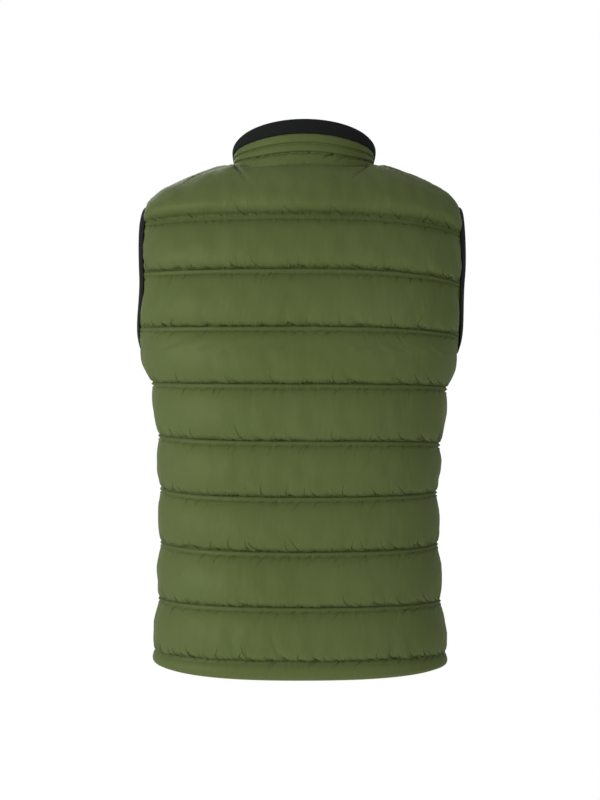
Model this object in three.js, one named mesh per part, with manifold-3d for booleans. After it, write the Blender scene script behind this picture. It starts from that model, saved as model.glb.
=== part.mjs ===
// A men's padded body warmer with a stand collar, zipped up and filled out as it is when worn.
// The shell is quilted in level channels by twin rows of stitching; the armholes and the collar's
// edge are bound in knitted elastic.
// Millimetres. X runs to the wearer's left, Y to the back, Z up. The origin lies midway between the
// shoulders at the height of the neck, where the wearer carries the garment.
import * as THREE from "three";
import { mergeVertices } from "three/addons/utils/BufferGeometryUtils.js";
import Module from "manifold-3d";

const wasm = await Module();
wasm.setup();

// Body form at the depth of the stitching, from the hem up: half width at the side seams, depth
// behind and in front of them, and how far the whole level leans to the wearer's left.
const BODY_RINGS = [
  { z: -684, halfWidth: 201, back: 118, front: 122, lean: 0 },
  { z: -659, halfWidth: 201, back: 118, front: 123, lean: 0 },
  { z: -591, halfWidth: 196, back: 115, front: 123, lean: 0.5 },
  { z: -519, halfWidth: 193, back: 110, front: 121, lean: 1.5 },
  { z: -447, halfWidth: 192, back: 108, front: 121, lean: 2.5 },
  { z: -373, halfWidth: 197, back: 113, front: 124, lean: 1 },
  { z: -298, halfWidth: 205, back: 120, front: 128, lean: 0 },
  { z: -223, halfWidth: 221, back: 125, front: 127, lean: 0 },
  { z: -148, halfWidth: 236, back: 125, front: 117, lean: -1 },
  { z: -85, halfWidth: 236, back: 125, front: 102, lean: -3 },
  { z: 40, halfWidth: 236, back: 125, front: 80, lean: -6 },
];
const SECTION_POWER = 2.4; // squareness of the level sections

// Stitched lines from the hem seam up: height at the centre, and rise at the wearer's left and
// right edges, where the cloth hangs a little unevenly.
const STITCH_LINES = [
  { z: -659, left: -1, right: -6 },
  { z: -591, left: 2, right: -3 },
  { z: -519, left: 7, right: 4 },
  { z: -447, left: 9, right: 3 },
  { z: -373, left: 8, right: -7 },
  { z: -298, left: 4, right: -5 },
  { z: -223, left: 2, right: -10 },
  { z: -148, left: 0, right: -15 },
  { z: -76, left: -3, right: -18 },
];
const HEM = { z: -684, left: 3, right: 2 };
const TWIN_ROWS = 6; // between the two rows of a stitched line
const TWIN_RIDGE = 1.6; // the strip of cloth that stands up between them

// Padding: how far a channel stands out past its stitching.
const PUFF = { body: 17, yoke: 20, hem: 5 };
const PUFF_SLUMP = 0.86; // under 1, the filling lies low in its channel
const PUFF_ROUNDNESS = 0.62;
const SIDE_FADE = 46; // how far from the side seam, armhole, zip or neck it takes to fill out
const ARMHOLE_FADE = 22;
const SHOULDER_END_FADE = 11;
const ZIP_FADE = 16;
const NECK_FADE = 8;
const LOW_FADE = 5; // the same for the hem and the ridges
const WALL = 2.6; // shell, flattened wadding and inner cloth at the stitching
const SEAM_GAP = 0.3; // between two pieces that are sewn together

// Shoulders: the crest that the cloth passes over, and the arch that leads up to it.
const ARCH_BASE = -148;
const NECK_HALF_WIDTH = 95;
const NECK_BACK = 75;
const NECK_FRONT = 95;
const SHOULDER_TIP = 212;
const CREST_SLOPE = 0.27;
const CREST_DROP = 0.00125; // how much steeper the crest gets towards the armhole
const CREST_RISE = 29; // towards the middle of the neck
const SHOULDER_SEAM = 77; // angle up the arch from the back, 90 being the crest
const FRONT_TOP_RISE = 6; // how much more the fronts' top line rises to the armhole

// Armholes, seen from the side: an oval that reaches down below the arch.
const ARMHOLE = { back: 62, front: 64, below: 101.5 };
const UNDERARM = ARCH_BASE - ARMHOLE.below;
const UNDERARM_BLEND = 100; // height over which the armhole's fullness takes over from the side's
const BINDING = { width: 9, thickness: 6, gap: 0.5, rounding: 2 };

// Stand collar in three stitched tiers with a black edge band.
const COLLAR_HALF_WIDTH = 98;
const COLLAR_TOP = { back: 72, front: 90, side: 27.5, backSlope: 0.44, frontSlope: 0.58 };
const BAND_FROM = 0.72; // share of the collar's height where the black band starts
const COLLAR_TIERS = [
  { upTo: 0.31, puff: 5 },
  { upTo: 0.5, puff: 2.4 },
  { upTo: BAND_FROM - 0.005, puff: 2 },
];
const TIER_SEAM_OUT = 0.3;
const COLLAR_GAP = 0.4; // over the neckline
const COLLAR_INSIDE = 4; // from the stitching to the collar's inner face
const COLLAR_FULL_HEIGHT = 70; // the padding thins where the collar is lower than this
const COLLAR_END = { reach: 4, fullness: 0.4 }; // degrees of turn beside the zip, and padding there
const BAND_GAP = 0.8;
const BAND_SECTION = [
  { share: 0, out: 1.6 },
  { share: 0.88, out: 1.6 },
  { share: 1, out: -0.4 },
  { share: 1, out: -2.2 },
  { share: 0.88, out: -COLLAR_INSIDE },
  { share: 0, out: -COLLAR_INSIDE },
];

// Front zip.
const ZIP = {
  edge: 5.6, // from the middle to the edge of each front
  tapeFrom: 3.1,
  tapeTo: 15,
  tape: 0.9,
  teethHalfWidth: 2.8,
  teethDepth: 2.6,
  neckShare: -0.05, // where the tape passes behind the neck seam, as a share of the collar
  topShare: 0.97, // where it ends
};
const SLIDER = { width: 8.6, height: 11, plate: 1.4, clear: 1.15, post: 2.4, belowTop: 3 };
const BRIDGE = { width: 2.2, bar: 1.3, reach: 4.3, height: 6.4 };
const PULL = {
  width: 7,
  length: 30,
  bar: 1.5,
  eye: 4.6,
  eyeClear: 0.6,
  waist: 5,
  waistAt: 8,
  shoulderAt: 6.2,
};
const ROOT = 0.4; // how far a joined piece reaches into the next
const ZIP_BOX = { width: 5.6, height: 10, depth: 3 };

// Mesh density.
const HALF_COLUMNS = 13;
const NECK_COLUMNS = 6;
const CHANNEL_ROWS = [0, 0.1, 0.34, 0.66, 0.9, 1];
const UNDERARM_ROWS = [0, 0.1, 0.34, 0.66, 0.72, 0.8, 0.9, 1];
const YOKE_ROWS = [0, 0.07, 0.2, 0.35, 0.5, 0.65, 0.8, 0.93, 1];
const HEM_ROWS = [0, 0.3, 0.7, 1];
const TIER_ROWS = [0.25, 0.6, 0.88];
const INNER_SHARE = 0.34; // the channel row that has one on the inner face as well

const OLIVE = new THREE.MeshStandardMaterial({ color: 0x5b6a3a, roughness: 0.5, metalness: 0 });
const BLACK_KNIT = new THREE.MeshStandardMaterial({ color: 0x1d201e, roughness: 0.9, metalness: 0 });
const BLACK_TAPE = new THREE.MeshStandardMaterial({ color: 0x1f211f, roughness: 0.85, metalness: 0 });
const BLACK_NYLON = new THREE.MeshStandardMaterial({ color: 0x161716, roughness: 0.45, metalness: 0 });
const GUNMETAL = new THREE.MeshStandardMaterial({ color: 0x3a3b3c, roughness: 0.35, metalness: 1 });

const radians = THREE.MathUtils.degToRad;
const clamp = THREE.MathUtils.clamp;
const lerp = THREE.MathUtils.lerp;

// A smooth curve through one column of BODY_RINGS.
function ringSize(column, z) {
  const last = BODY_RINGS.length - 1;
  let i = 0;
  while (i < last - 1 && z > BODY_RINGS[i + 1].z) i += 1;
  const slope = (k) => {
    const a = BODY_RINGS[Math.max(k - 1, 0)];
    const b = BODY_RINGS[Math.min(k + 1, last)];
    return (b[column] - a[column]) / (b.z - a.z);
  };
  const low = BODY_RINGS[i];
  const high = BODY_RINGS[i + 1];
  const span = high.z - low.z;
  const t = clamp((z - low.z) / span, 0, 1);
  const t2 = t * t;
  const t3 = t2 * t;
  return (
    (2 * t3 - 3 * t2 + 1) * low[column] +
    (t3 - 2 * t2 + t) * span * slope(i) +
    (3 * t2 - 2 * t3) * high[column] +
    (t3 - t2) * span * slope(i + 1)
  );
}

function crestHeight(x) {
  const beyond = Math.max(0, Math.abs(x) - NECK_HALF_WIDTH);
  const inward = Math.max(0, 1 - (x / NECK_HALF_WIDTH) ** 2) ** 2;
  return CREST_RISE * inward - CREST_SLOPE * beyond - CREST_DROP * beyond * beyond;
}

// Share of the crest's height above the arch base at which a level lies.
function archSine(x, z) {
  return clamp((z - ARCH_BASE) / (crestHeight(x) - ARCH_BASE), 0, 1);
}

// The form at a level: ratio is 0 at the centre and 1 at the side seam; side is 1 behind, -1 in front.
function levelPoint(ratio, z, side) {
  const x = ringSize("halfWidth", z) * ratio ** (2 / SECTION_POWER);
  const depth = ringSize(side > 0 ? "back" : "front", z);
  const arch = Math.sqrt(1 - archSine(x, z) ** 2);
  return new THREE.Vector3(x, side * depth * (1 - ratio * ratio) ** (1 / SECTION_POWER) * arch, z);
}

// The form over the shoulder: angle is 0 at the arch base behind, 90 on the crest, 180 in front.
function archPoint(x, angle) {
  const turn = radians(angle);
  const z = ARCH_BASE + (crestHeight(x) - ARCH_BASE) * Math.sin(turn);
  const depth = ringSize(angle < 90 ? "back" : "front", z);
  const across = (Math.abs(x) / ringSize("halfWidth", z)) ** SECTION_POWER;
  return new THREE.Vector3(x, Math.cos(turn) * depth * (1 - across) ** (1 / SECTION_POWER), z);
}

// A place on the form with the way that its cloth faces, from a small step each way.
function facing(point, stepAcross, stepUp, outward) {
  const normal = stepAcross.clone().sub(point).cross(stepUp.clone().sub(point)).normalize();
  return { point, normal: normal.dot(outward) < 0 ? normal.negate() : normal };
}

function levelPlace(ratio, z, side) {
  const step = 1e-3;
  const p = levelPoint(ratio, z, side);
  const across = levelPoint(ratio > 0.5 ? ratio - step : ratio + step, z, side);
  return facing(p, across, levelPoint(ratio, z + step, side), new THREE.Vector3(p.x, p.y, 0));
}

function archPlace(x, angle) {
  const p = archPoint(x, angle);
  const outward = new THREE.Vector3(0, Math.cos(radians(angle)), Math.sin(radians(angle)));
  return facing(p, archPoint(x + 0.01, angle), archPoint(x, angle + 0.02), outward);
}

// How far across a level the panel reaches, as a ratio: to the side seam, or to the armhole.
function edgeRatio(z, side) {
  if (z <= UNDERARM) return 1;
  const reach = side > 0 ? ARMHOLE.back : ARMHOLE.front;
  const ratioAt = (y, level) =>
    Math.sqrt(1 - (y / ringSize(side > 0 ? "back" : "front", level)) ** SECTION_POWER);
  if (z <= ARCH_BASE) {
    const down = (ARCH_BASE - z) / ARMHOLE.below;
    return ratioAt(reach * Math.sqrt(1 - down * down), z);
  }
  const width = ringSize("halfWidth", ARCH_BASE);
  const widthAtBase = width * ratioAt(reach, ARCH_BASE) ** (2 / SECTION_POWER);
  const up = clamp((z - ARCH_BASE) / (crestHeight(SHOULDER_TIP) - ARCH_BASE), 0, 1);
  return (lerp(widthAtBase, SHOULDER_TIP, up) / width) ** (SECTION_POWER / 2);
}

// Parameters t from 0 to 1 that divide the curve pointAt(t) into equal lengths.
function evenly(pointAt, parts) {
  const fine = 96;
  const lengths = [0];
  let last = pointAt(0);
  for (let i = 1; i <= fine; i += 1) {
    const next = pointAt(i / fine);
    lengths.push(lengths[i - 1] + next.distanceTo(last));
    last = next;
  }
  const found = [];
  let i = 0;
  for (let k = 0; k <= parts; k += 1) {
    const want = (lengths[fine] * k) / parts;
    while (i < fine - 1 && lengths[i + 1] < want) i += 1;
    found.push((i + (want - lengths[i]) / (lengths[i + 1] - lengths[i])) / fine);
  }
  return { found, length: lengths[fine] };
}

// One row of half a panel, from startX to the edge, along a level that rises by rise there.
function levelRow(z, rise, side, startX, columns) {
  const start = (startX / ringSize("halfWidth", z)) ** (SECTION_POWER / 2);
  const at = (t) => {
    const level = z + rise * t * t;
    const end = edgeRatio(z, side);
    const turn = lerp(Math.asin(start), Math.asin(end), t);
    return { ratio: Math.sin(turn), level };
  };
  const pointAt = (t) => levelPoint(at(t).ratio, at(t).level, side);
  const { found, length } = evenly(pointAt, columns);
  return found.map((t, i) => ({
    ...levelPlace(at(t).ratio, at(t).level, side),
    fromEdge: length * (1 - i / columns),
    fromStart: (length * i) / columns,
  }));
}

// The neckline: an egg-shaped oval seen from above, lying on the form. turn is 0 at the back.
function neckAngles(turn) {
  const x = NECK_HALF_WIDTH * Math.sin(radians(turn));
  const y = (turn < 90 ? NECK_BACK : NECK_FRONT) * Math.cos(radians(turn));
  let low = y > 0 ? 0 : 90;
  let high = y > 0 ? 90 : 180;
  for (let i = 0; i < 40; i += 1) {
    const middle = (low + high) / 2;
    if (archPoint(x, middle).y > y) low = middle;
    else high = middle;
  }
  return { x, angle: (low + high) / 2 };
}

// Where the neckline meets the shoulder seam, and where it meets the zip.
function neckTurnWhere(test) {
  let low = 40;
  let high = 179.9;
  for (let i = 0; i < 40; i += 1) {
    const middle = (low + high) / 2;
    if (test(middle)) high = middle;
    else low = middle;
  }
  return (low + high) / 2;
}
const TURN_AT_SHOULDER = neckTurnWhere((turn) => neckAngles(turn).angle > SHOULDER_SEAM);
const TURN_AT_ZIP = 180 - THREE.MathUtils.radToDeg(Math.asin(ZIP.edge / NECK_HALF_WIDTH));
const NECK_AT_ZIP = archPoint(neckAngles(TURN_AT_ZIP).x, neckAngles(TURN_AT_ZIP).angle);

// How full a channel is at a share of its height.
function channelShape(share) {
  return Math.sin(Math.PI * share ** PUFF_SLUMP) ** PUFF_ROUNDNESS;
}

function fade(distance, reach) {
  return 1 - Math.exp(-distance / reach);
}

function shifted(line, by) {
  return { z: line.z + by, rise: line.rise };
}

// The heights of a half panel's rows up to its top line, each with its rise at the edge, how far
// the cloth stands off the form there, and whether the inner face has a row there too.
function levelRows(lines, hem) {
  const rows = [];
  const add = (a, b, share, puff, inner) =>
    rows.push({ z: lerp(a.z, b.z, share), rise: lerp(a.rise, b.rise, share), puff, inner });
  const fullness = (share) => (share % 1 === 0 ? 0 : channelShape(share));
  HEM_ROWS.forEach((share) =>
    add(hem, shifted(lines[0], -1), share, PUFF.hem * fullness(share), share === 0),
  );
  lines.forEach((line, k) => {
    const isHemLine = k === 0;
    add(line, line, 0, isHemLine ? 0 : TWIN_RIDGE, true);
    if (k === lines.length - 1) return;
    const low = shifted(line, isHemLine ? 1 : TWIN_ROWS / 2);
    const high = shifted(lines[k + 1], -TWIN_ROWS / 2);
    const shares = low.z < UNDERARM && UNDERARM < high.z ? UNDERARM_ROWS : CHANNEL_ROWS;
    shares.forEach((share) =>
      add(low, high, share, PUFF.body * fullness(share), share === INNER_SHARE),
    );
  });
  return rows;
}

// Rows of a half panel that lie below the yoke, each a list of places with the cloth's offset.
function lowerRows(lines, hem, side, startX, columns) {
  return levelRows(lines, hem).map(({ z, rise, puff, inner }) => {
    const isLow = puff <= PUFF.hem;
    const underArm = clamp((z - UNDERARM) / UNDERARM_BLEND + 0.5, 0, 1);
    const edgeReach = isLow ? LOW_FADE : lerp(SIDE_FADE, ARMHOLE_FADE, underArm);
    const zipReach = isLow ? LOW_FADE : ZIP_FADE;
    const outAt = ({ fromEdge, fromStart }) =>
      puff * fade(fromEdge, edgeReach) * (startX > 0 ? fade(fromStart, zipReach) : 1);
    return {
      inner: inner || underArm > 0,
      places: levelRow(z, rise, side, startX, columns).map((p) => ({ ...p, out: outAt(p) })),
    };
  });
}

// The yoke above the top line, as a patch between four edges given in x and arch angle. neckReach
// gives a place's distance from the neckline.
function yokeRows(bottom, top, inner, outer, neckReach) {
  const columns = bottom.length - 1;
  const last = YOKE_ROWS.length - 1;
  return YOKE_ROWS.map((w, j) => {
    const blend = (key, i) => {
      const s = i / columns;
      const upright = (1 - w) * bottom[i][key] + w * top[i][key];
      const level = (1 - s) * inner[j][key] + s * outer[j][key];
      const atStart = (1 - w) * bottom[0][key] + w * top[0][key];
      const atEnd = (1 - w) * bottom[columns][key] + w * top[columns][key];
      return upright + level - (1 - s) * atStart - s * atEnd;
    };
    const places = bottom.map((_, i) => archPlace(blend("x", i), blend("angle", i)));
    const along = [0];
    for (let i = 1; i <= columns; i += 1) {
      along.push(along[i - 1] + places[i].point.distanceTo(places[i - 1].point));
    }
    const puff = j === 0 || j === last ? 0 : PUFF.yoke * channelShape(w);
    const outAt = (place, i) =>
      puff *
      fade(along[columns] - along[i], SHOULDER_END_FADE) *
      fade(neckReach(place.point, along[i]), NECK_FADE);
    return { inner: true, places: places.map((place, i) => ({ ...place, out: outAt(place, i) })) };
  });
}

// Arch angles of a row's places.
function archAngles(places, side) {
  return places.map(({ point }) => {
    const angle = THREE.MathUtils.radToDeg(Math.asin(archSine(point.x, point.z)));
    return { x: point.x, angle: side > 0 ? angle : 180 - angle };
  });
}

// The armhole edge of the yoke, from the top line to the shoulder seam.
function armholeAngles(start) {
  return YOKE_ROWS.map((w) => {
    const angle = lerp(start.angle, SHOULDER_SEAM, w);
    return { x: lerp(start.x, SHOULDER_TIP, w), angle };
  });
}

// Half of the back, on the wearer's left or right, from the centre out.
function halfBack(hand) {
  const lines = STITCH_LINES.map((line) => ({ z: line.z, rise: line[hand] }));
  const rows = lowerRows(lines, { z: HEM.z, rise: HEM[hand] }, 1, 0, HALF_COLUMNS);
  const topLine = shifted(lines[lines.length - 1], TWIN_ROWS / 2);
  const bottom = archAngles(levelRow(topLine.z, topLine.rise, 1, 0, HALF_COLUMNS), 1);
  const shoulder = neckAngles(TURN_AT_SHOULDER);
  const top = bottom.map((_, i) => {
    if (i <= NECK_COLUMNS) return neckAngles((TURN_AT_SHOULDER * i) / NECK_COLUMNS);
    const out = (i - NECK_COLUMNS) / (HALF_COLUMNS - NECK_COLUMNS);
    return { x: lerp(shoulder.x, SHOULDER_TIP, out), angle: SHOULDER_SEAM };
  });
  const middle = YOKE_ROWS.map((w) => ({ x: 0, angle: lerp(bottom[0].angle, top[0].angle, w) }));
  const outer = armholeAngles(bottom[HALF_COLUMNS]);
  const neckReach = (p) => Math.max(0, Math.hypot(p.x, p.y) - (NECK_HALF_WIDTH + NECK_BACK) / 2);
  return rows.concat(yokeRows(bottom, top, middle, outer, neckReach));
}

// One front, from the zip and neckline out to the side seam and armhole.
function halfFront(hand) {
  const columns = HALF_COLUMNS - 1;
  const lines = STITCH_LINES.map((line) => ({ z: line.z, rise: line[hand] }));
  const last = lines.length - 1;
  lines[last] = { z: NECK_AT_ZIP.z - TWIN_ROWS / 2, rise: lines[last].rise + FRONT_TOP_RISE };
  const rows = lowerRows(lines, { z: HEM.z, rise: HEM[hand] }, -1, ZIP.edge, columns);
  const topLine = shifted(lines[last], TWIN_ROWS / 2);
  const bottom = archAngles(levelRow(topLine.z, topLine.rise, -1, ZIP.edge, columns), -1);
  const shoulder = neckAngles(TURN_AT_SHOULDER);
  const top = bottom.map((_, i) => ({
    x: lerp(shoulder.x, SHOULDER_TIP, i / columns),
    angle: SHOULDER_SEAM,
  }));
  const neck = YOKE_ROWS.map((w) => neckAngles(lerp(TURN_AT_ZIP, TURN_AT_SHOULDER, w)));
  const outer = armholeAngles(bottom[columns]);
  return rows.concat(yokeRows(bottom, top, neck, outer, (_, along) => along));
}

// Mirrors a half panel's rows to the wearer's right.
function mirrored(rows) {
  const flip = (v) => new THREE.Vector3(-v.x, v.y, v.z);
  return rows.map((row) => ({
    inner: row.inner,
    places: row.places.map((p) => ({ ...p, point: flip(p.point), normal: flip(p.normal) })),
  }));
}

// Draws the edge places of a panel in by half a seam gap, along the cloth.
function drawnIn(rows, edges) {
  const last = rows[0].places.length - 1;
  const pull = (place, towards) => {
    const way = towards.point.clone().sub(place.point).setLength(SEAM_GAP / 2);
    place.point = place.point.clone().add(way);
  };
  rows.forEach(({ places }) => {
    if (edges.start) pull(places[0], places[1]);
    if (edges.end) pull(places[last], places[last - 1]);
  });
  const top = rows.length - 1;
  rows[top].places.forEach((place, i) => pull(place, rows[top - 1].places[i]));
  return rows;
}

const outside = (place) => place.point.clone().addScaledVector(place.normal, place.out);
const inside = (place) => place.point.clone().addScaledVector(place.normal, -WALL);
const leaned = (p) => p.clone().setX(p.x + ringSize("lean", p.z));

// A closed mesh from triangles given by their corner points, facing out whichever way they wind.
// The garment's lean is given to it here.
function closedGeometry(triangles) {
  const volume = triangles.reduce((sum, [a, b, c]) => sum + a.dot(b.clone().cross(c)), 0);
  const corners = triangles.flatMap(([a, b, c]) => (volume < 0 ? [a, c, b] : [a, b, c]));
  return new THREE.BufferGeometry().setFromPoints(corners.map(leaned));
}

function quad(a, b, c, d) {
  return [
    [a, b, c],
    [a, c, d],
  ];
}

// Faces between two rows of points with the same count.
function band(low, high) {
  const faces = [];
  for (let i = 0; i + 1 < low.length; i += 1) {
    faces.push(...quad(low[i], low[i + 1], high[i + 1], high[i]));
  }
  return faces;
}

// A cloth wall: quilted rows outside, plainer rows inside, closed round its four edges. innerOf
// gives the outer row that each inner row lies behind.
function wallGeometry(outerRows, innerRows, innerOf) {
  const faces = [];
  for (let j = 0; j + 1 < outerRows.length; j += 1) faces.push(...band(outerRows[j], outerRows[j + 1]));
  for (let j = 0; j + 1 < innerRows.length; j += 1) faces.push(...band(innerRows[j + 1], innerRows[j]));
  faces.push(...band(innerRows[0], outerRows[0]));
  faces.push(...band(outerRows[outerRows.length - 1], innerRows[innerRows.length - 1]));
  for (const [side, turned] of [
    [0, false],
    [outerRows[0].length - 1, true],
  ]) {
    for (let k = 0; k + 1 < innerRows.length; k += 1) {
      const [from, to] = [innerOf[k], innerOf[k + 1]];
      const half = Math.floor((from + to) / 2);
      for (let j = from; j < to; j += 1) {
        const tip = innerRows[j < half ? k : k + 1][side];
        const face = [outerRows[j][side], outerRows[j + 1][side], tip];
        faces.push(turned ? [face[1], face[0], face[2]] : face);
      }
      const closing = [innerRows[k][side], outerRows[half][side], innerRows[k + 1][side]];
      faces.push(turned ? [closing[1], closing[0], closing[2]] : closing);
    }
  }
  return closedGeometry(faces);
}

function panelGeometry(rows) {
  const kept = rows
    .map((row, j) => (row.inner || j === 0 || j === rows.length - 1 ? j : -1))
    .filter((j) => j >= 0);
  return wallGeometry(
    rows.map((row) => row.places.map(outside)),
    kept.map((j) => rows[j].places.map(inside)),
    kept,
  );
}

// A closed loop or a capped run of a section, given as rings of points.
function sweptGeometry(rings, closed) {
  const faces = [];
  const count = rings.length;
  for (let i = 0; i < (closed ? count : count - 1); i += 1) {
    const a = rings[i];
    const b = rings[(i + 1) % count];
    for (let k = 0; k < a.length; k += 1) {
      const n = (k + 1) % a.length;
      faces.push(...quad(a[k], a[n], b[n], b[k]));
    }
  }
  if (!closed) {
    for (const [ring, turned] of [
      [rings[0], true],
      [rings[count - 1], false],
    ]) {
      for (let k = 1; k + 1 < ring.length; k += 1) {
        faces.push(turned ? [ring[0], ring[k + 1], ring[k]] : [ring[0], ring[k], ring[k + 1]]);
      }
    }
  }
  return closedGeometry(faces);
}

// Knitted binding round an armhole, butted to the edges of the back and the front. The edges are
// lists of places that run up from the underarm.
function armholeBinding(backEdge, frontEdge) {
  const loop = backEdge.concat(frontEdge.slice(1, -1).reverse());
  const count = loop.length;
  const sum = loop.reduce((total, place) => total.add(place.point), new THREE.Vector3());
  const middle = sum.divideScalar(count);
  const half = BINDING.thickness / 2;
  const section = [
    [0, half],
    [BINDING.width - BINDING.rounding, half],
    [BINDING.width, 0],
    [BINDING.width - BINDING.rounding, -half],
    [0, -half],
  ];
  const rings = loop.map(({ point, normal }, i) => {
    const before = loop[(i + count - 1) % count].point;
    const after = loop[(i + 1) % count].point;
    const along = after.clone().sub(before).normalize();
    const up = normal.clone().addScaledVector(along, -normal.dot(along)).normalize();
    const into = along.clone().cross(up);
    if (into.dot(middle.clone().sub(point)) < 0) into.negate();
    return section.map(([across, off]) =>
      point
        .clone()
        .addScaledVector(into, BINDING.gap + across)
        .addScaledVector(up, off - WALL / 2),
    );
  });
  return sweptGeometry(rings, true);
}

// A place on the neckline. turn is negative on the wearer's right.
function neckPoint(turn) {
  const { x, angle } = neckAngles(Math.abs(turn));
  const point = archPoint(x, angle);
  return point.setX(Math.sign(turn) * point.x);
}

// A place on the collar: turn goes round the neckline, share is 0 at the neck seam and 1 at the top.
function collarPlace(turn, share) {
  const sideways = Math.sin(radians(turn));
  const away = Math.cos(radians(turn));
  const topY = (away > 0 ? COLLAR_TOP.back : COLLAR_TOP.front) * away;
  const slope = away > 0 ? COLLAR_TOP.backSlope : COLLAR_TOP.frontSlope;
  const top = new THREE.Vector3(COLLAR_HALF_WIDTH * sideways, topY, COLLAR_TOP.side + slope * topY);
  const base = neckPoint(turn);
  base.z += COLLAR_GAP;
  const up = top.clone().sub(base).normalize();
  const outward = new THREE.Vector3(sideways / NECK_HALF_WIDTH, away / NECK_BACK, 0).normalize();
  const normal = outward.addScaledVector(up, -outward.dot(up)).normalize();
  const height = top.distanceTo(base);
  return { point: base.lerp(top, share), normal, height };
}

// The places that the collar's foot shares with the neckline edges of the back and fronts.
function neckStations() {
  const back = [];
  for (let i = 0; i <= NECK_COLUMNS; i += 1) back.push((TURN_AT_SHOULDER * i) / NECK_COLUMNS);
  const front = YOKE_ROWS.map((w) => lerp(TURN_AT_SHOULDER, TURN_AT_ZIP, 1 - w));
  const left = [...new Set(back.concat(front).map((t) => Number(t.toFixed(6))))].sort((a, b) => a - b);
  return left
    .slice(1)
    .reverse()
    .map((t) => -t)
    .concat(left);
}

// Shares of the collar's height for its rows, with how far the cloth stands out at each.
function collarRows() {
  const rows = [{ share: 0, out: 0 }];
  let from = 0;
  for (const { upTo, puff } of COLLAR_TIERS) {
    for (const v of TIER_ROWS) rows.push({ share: lerp(from, upTo, v), out: puff * channelShape(v) });
    rows.push({ share: upTo, out: TIER_SEAM_OUT });
    from = upTo;
  }
  return rows;
}

function collarGeometry() {
  const stations = neckStations();
  const rowOf = (share, off) =>
    stations.map((turn) => {
      const place = collarPlace(turn, share);
      const atEnd = Math.abs(turn) > TURN_AT_ZIP - COLLAR_END.reach;
      const fullness = (atEnd ? COLLAR_END.fullness : 1) * Math.min(1, place.height / COLLAR_FULL_HEIGHT);
      return place.point.addScaledVector(place.normal, off > 0 ? off * fullness : off);
    });
  const rows = collarRows();
  const outer = rows.map((row) => rowOf(row.share, row.out));
  const kept = [0, TIER_ROWS.length + 1, rows.length - 1];
  const inner = kept.map((j) => rowOf(rows[j].share, -COLLAR_INSIDE));
  return wallGeometry(outer, inner, kept);
}

function collarBandGeometry() {
  const rings = neckStations().map((turn) => {
    const foot = BAND_FROM + BAND_GAP / collarPlace(turn, 0).height;
    return BAND_SECTION.map(({ share, out }) => {
      const place = collarPlace(turn, lerp(foot, 1, share));
      return place.point.addScaledVector(place.normal, out);
    });
  });
  return sweptGeometry(rings, false);
}

// The line that the zip's tape is sewn along, up the edge of a front and of the collar: a point on
// the inner face of the cloth there, the way that it faces, and the way across to the side.
function zipPlaces(frontRows) {
  const line = [];
  for (const { inner, places } of frontRows) {
    if (!inner || places[0].point.z > NECK_AT_ZIP.z - TWIN_ROWS) continue;
    const point = inside(places[0]);
    const across = inside(places[1]).sub(point).normalize();
    line.push({ point, across, normal: places[0].normal.clone() });
  }
  const stations = neckStations();
  const [last, before] = [stations[stations.length - 1], stations[stations.length - 2]];
  for (const share of [ZIP.neckShare, BAND_FROM / 2, BAND_FROM, ZIP.topShare]) {
    const place = collarPlace(last, share);
    const next = collarPlace(before, share);
    const point = place.point.addScaledVector(place.normal, -COLLAR_INSIDE);
    const across = next.point.addScaledVector(next.normal, -COLLAR_INSIDE).sub(point).normalize();
    line.push({ point, across, normal: place.normal.clone() });
  }
  return line;
}

// A strip along the zip, from x0 to x1 off the middle on the side that sign gives, and between two
// depths behind the cloth.
function zipStrip(line, sign, x0, x1, near, far) {
  const rings = line.map(({ point, across, normal }) => {
    const flat = normal.clone().setX(0).normalize();
    const at = (x, depth) =>
      point
        .clone()
        .addScaledVector(across, (x - point.x) / across.x)
        .addScaledVector(flat, -depth);
    return [at(x0, near), at(x1, near), at(x1, far), at(x0, far)].map((p) => p.setX(sign * p.x));
  });
  return sweptGeometry(rings, false);
}

function solidOf(geometry) {
  const source = geometry.clone();
  source.deleteAttribute("normal");
  source.deleteAttribute("uv");
  const merged = mergeVertices(source, 1e-4);
  const mesh = new wasm.Mesh({
    numProp: 3,
    vertProperties: new Float32Array(merged.getAttribute("position").array),
    triVerts: new Uint32Array(merged.getIndex().array),
  });
  return new wasm.Manifold(mesh);
}

function geometryOf(solid) {
  const made = solid.getMesh();
  const geometry = new THREE.BufferGeometry();
  geometry.setAttribute("position", new THREE.BufferAttribute(made.vertProperties, 3));
  geometry.setIndex(new THREE.BufferAttribute(made.triVerts, 1));
  return geometry;
}

// An outline in Y and Z pushed out evenly to both sides of X.
function crosswise(shape, width) {
  const geometry = new THREE.ExtrudeGeometry(shape, { depth: width, bevelEnabled: false });
  const turn = new THREE.Matrix4().makeBasis(
    new THREE.Vector3(0, 1, 0),
    new THREE.Vector3(0, 0, 1),
    new THREE.Vector3(1, 0, 0),
  );
  return geometry.translate(0, 0, -width / 2).applyMatrix4(turn);
}

function shapeOf(points) {
  return new THREE.Shape(points.map(([a, b]) => new THREE.Vector2(a, b)));
}

// A rectangle from (out0, up0) to (out1, up1), pushed out across the zip.
function block(out0, out1, up0, up1, width) {
  return crosswise(
    shapeOf([
      [-out1, up0],
      [-out0, up0],
      [-out0, up1],
      [-out1, up1],
    ]),
    width,
  );
}

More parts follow.
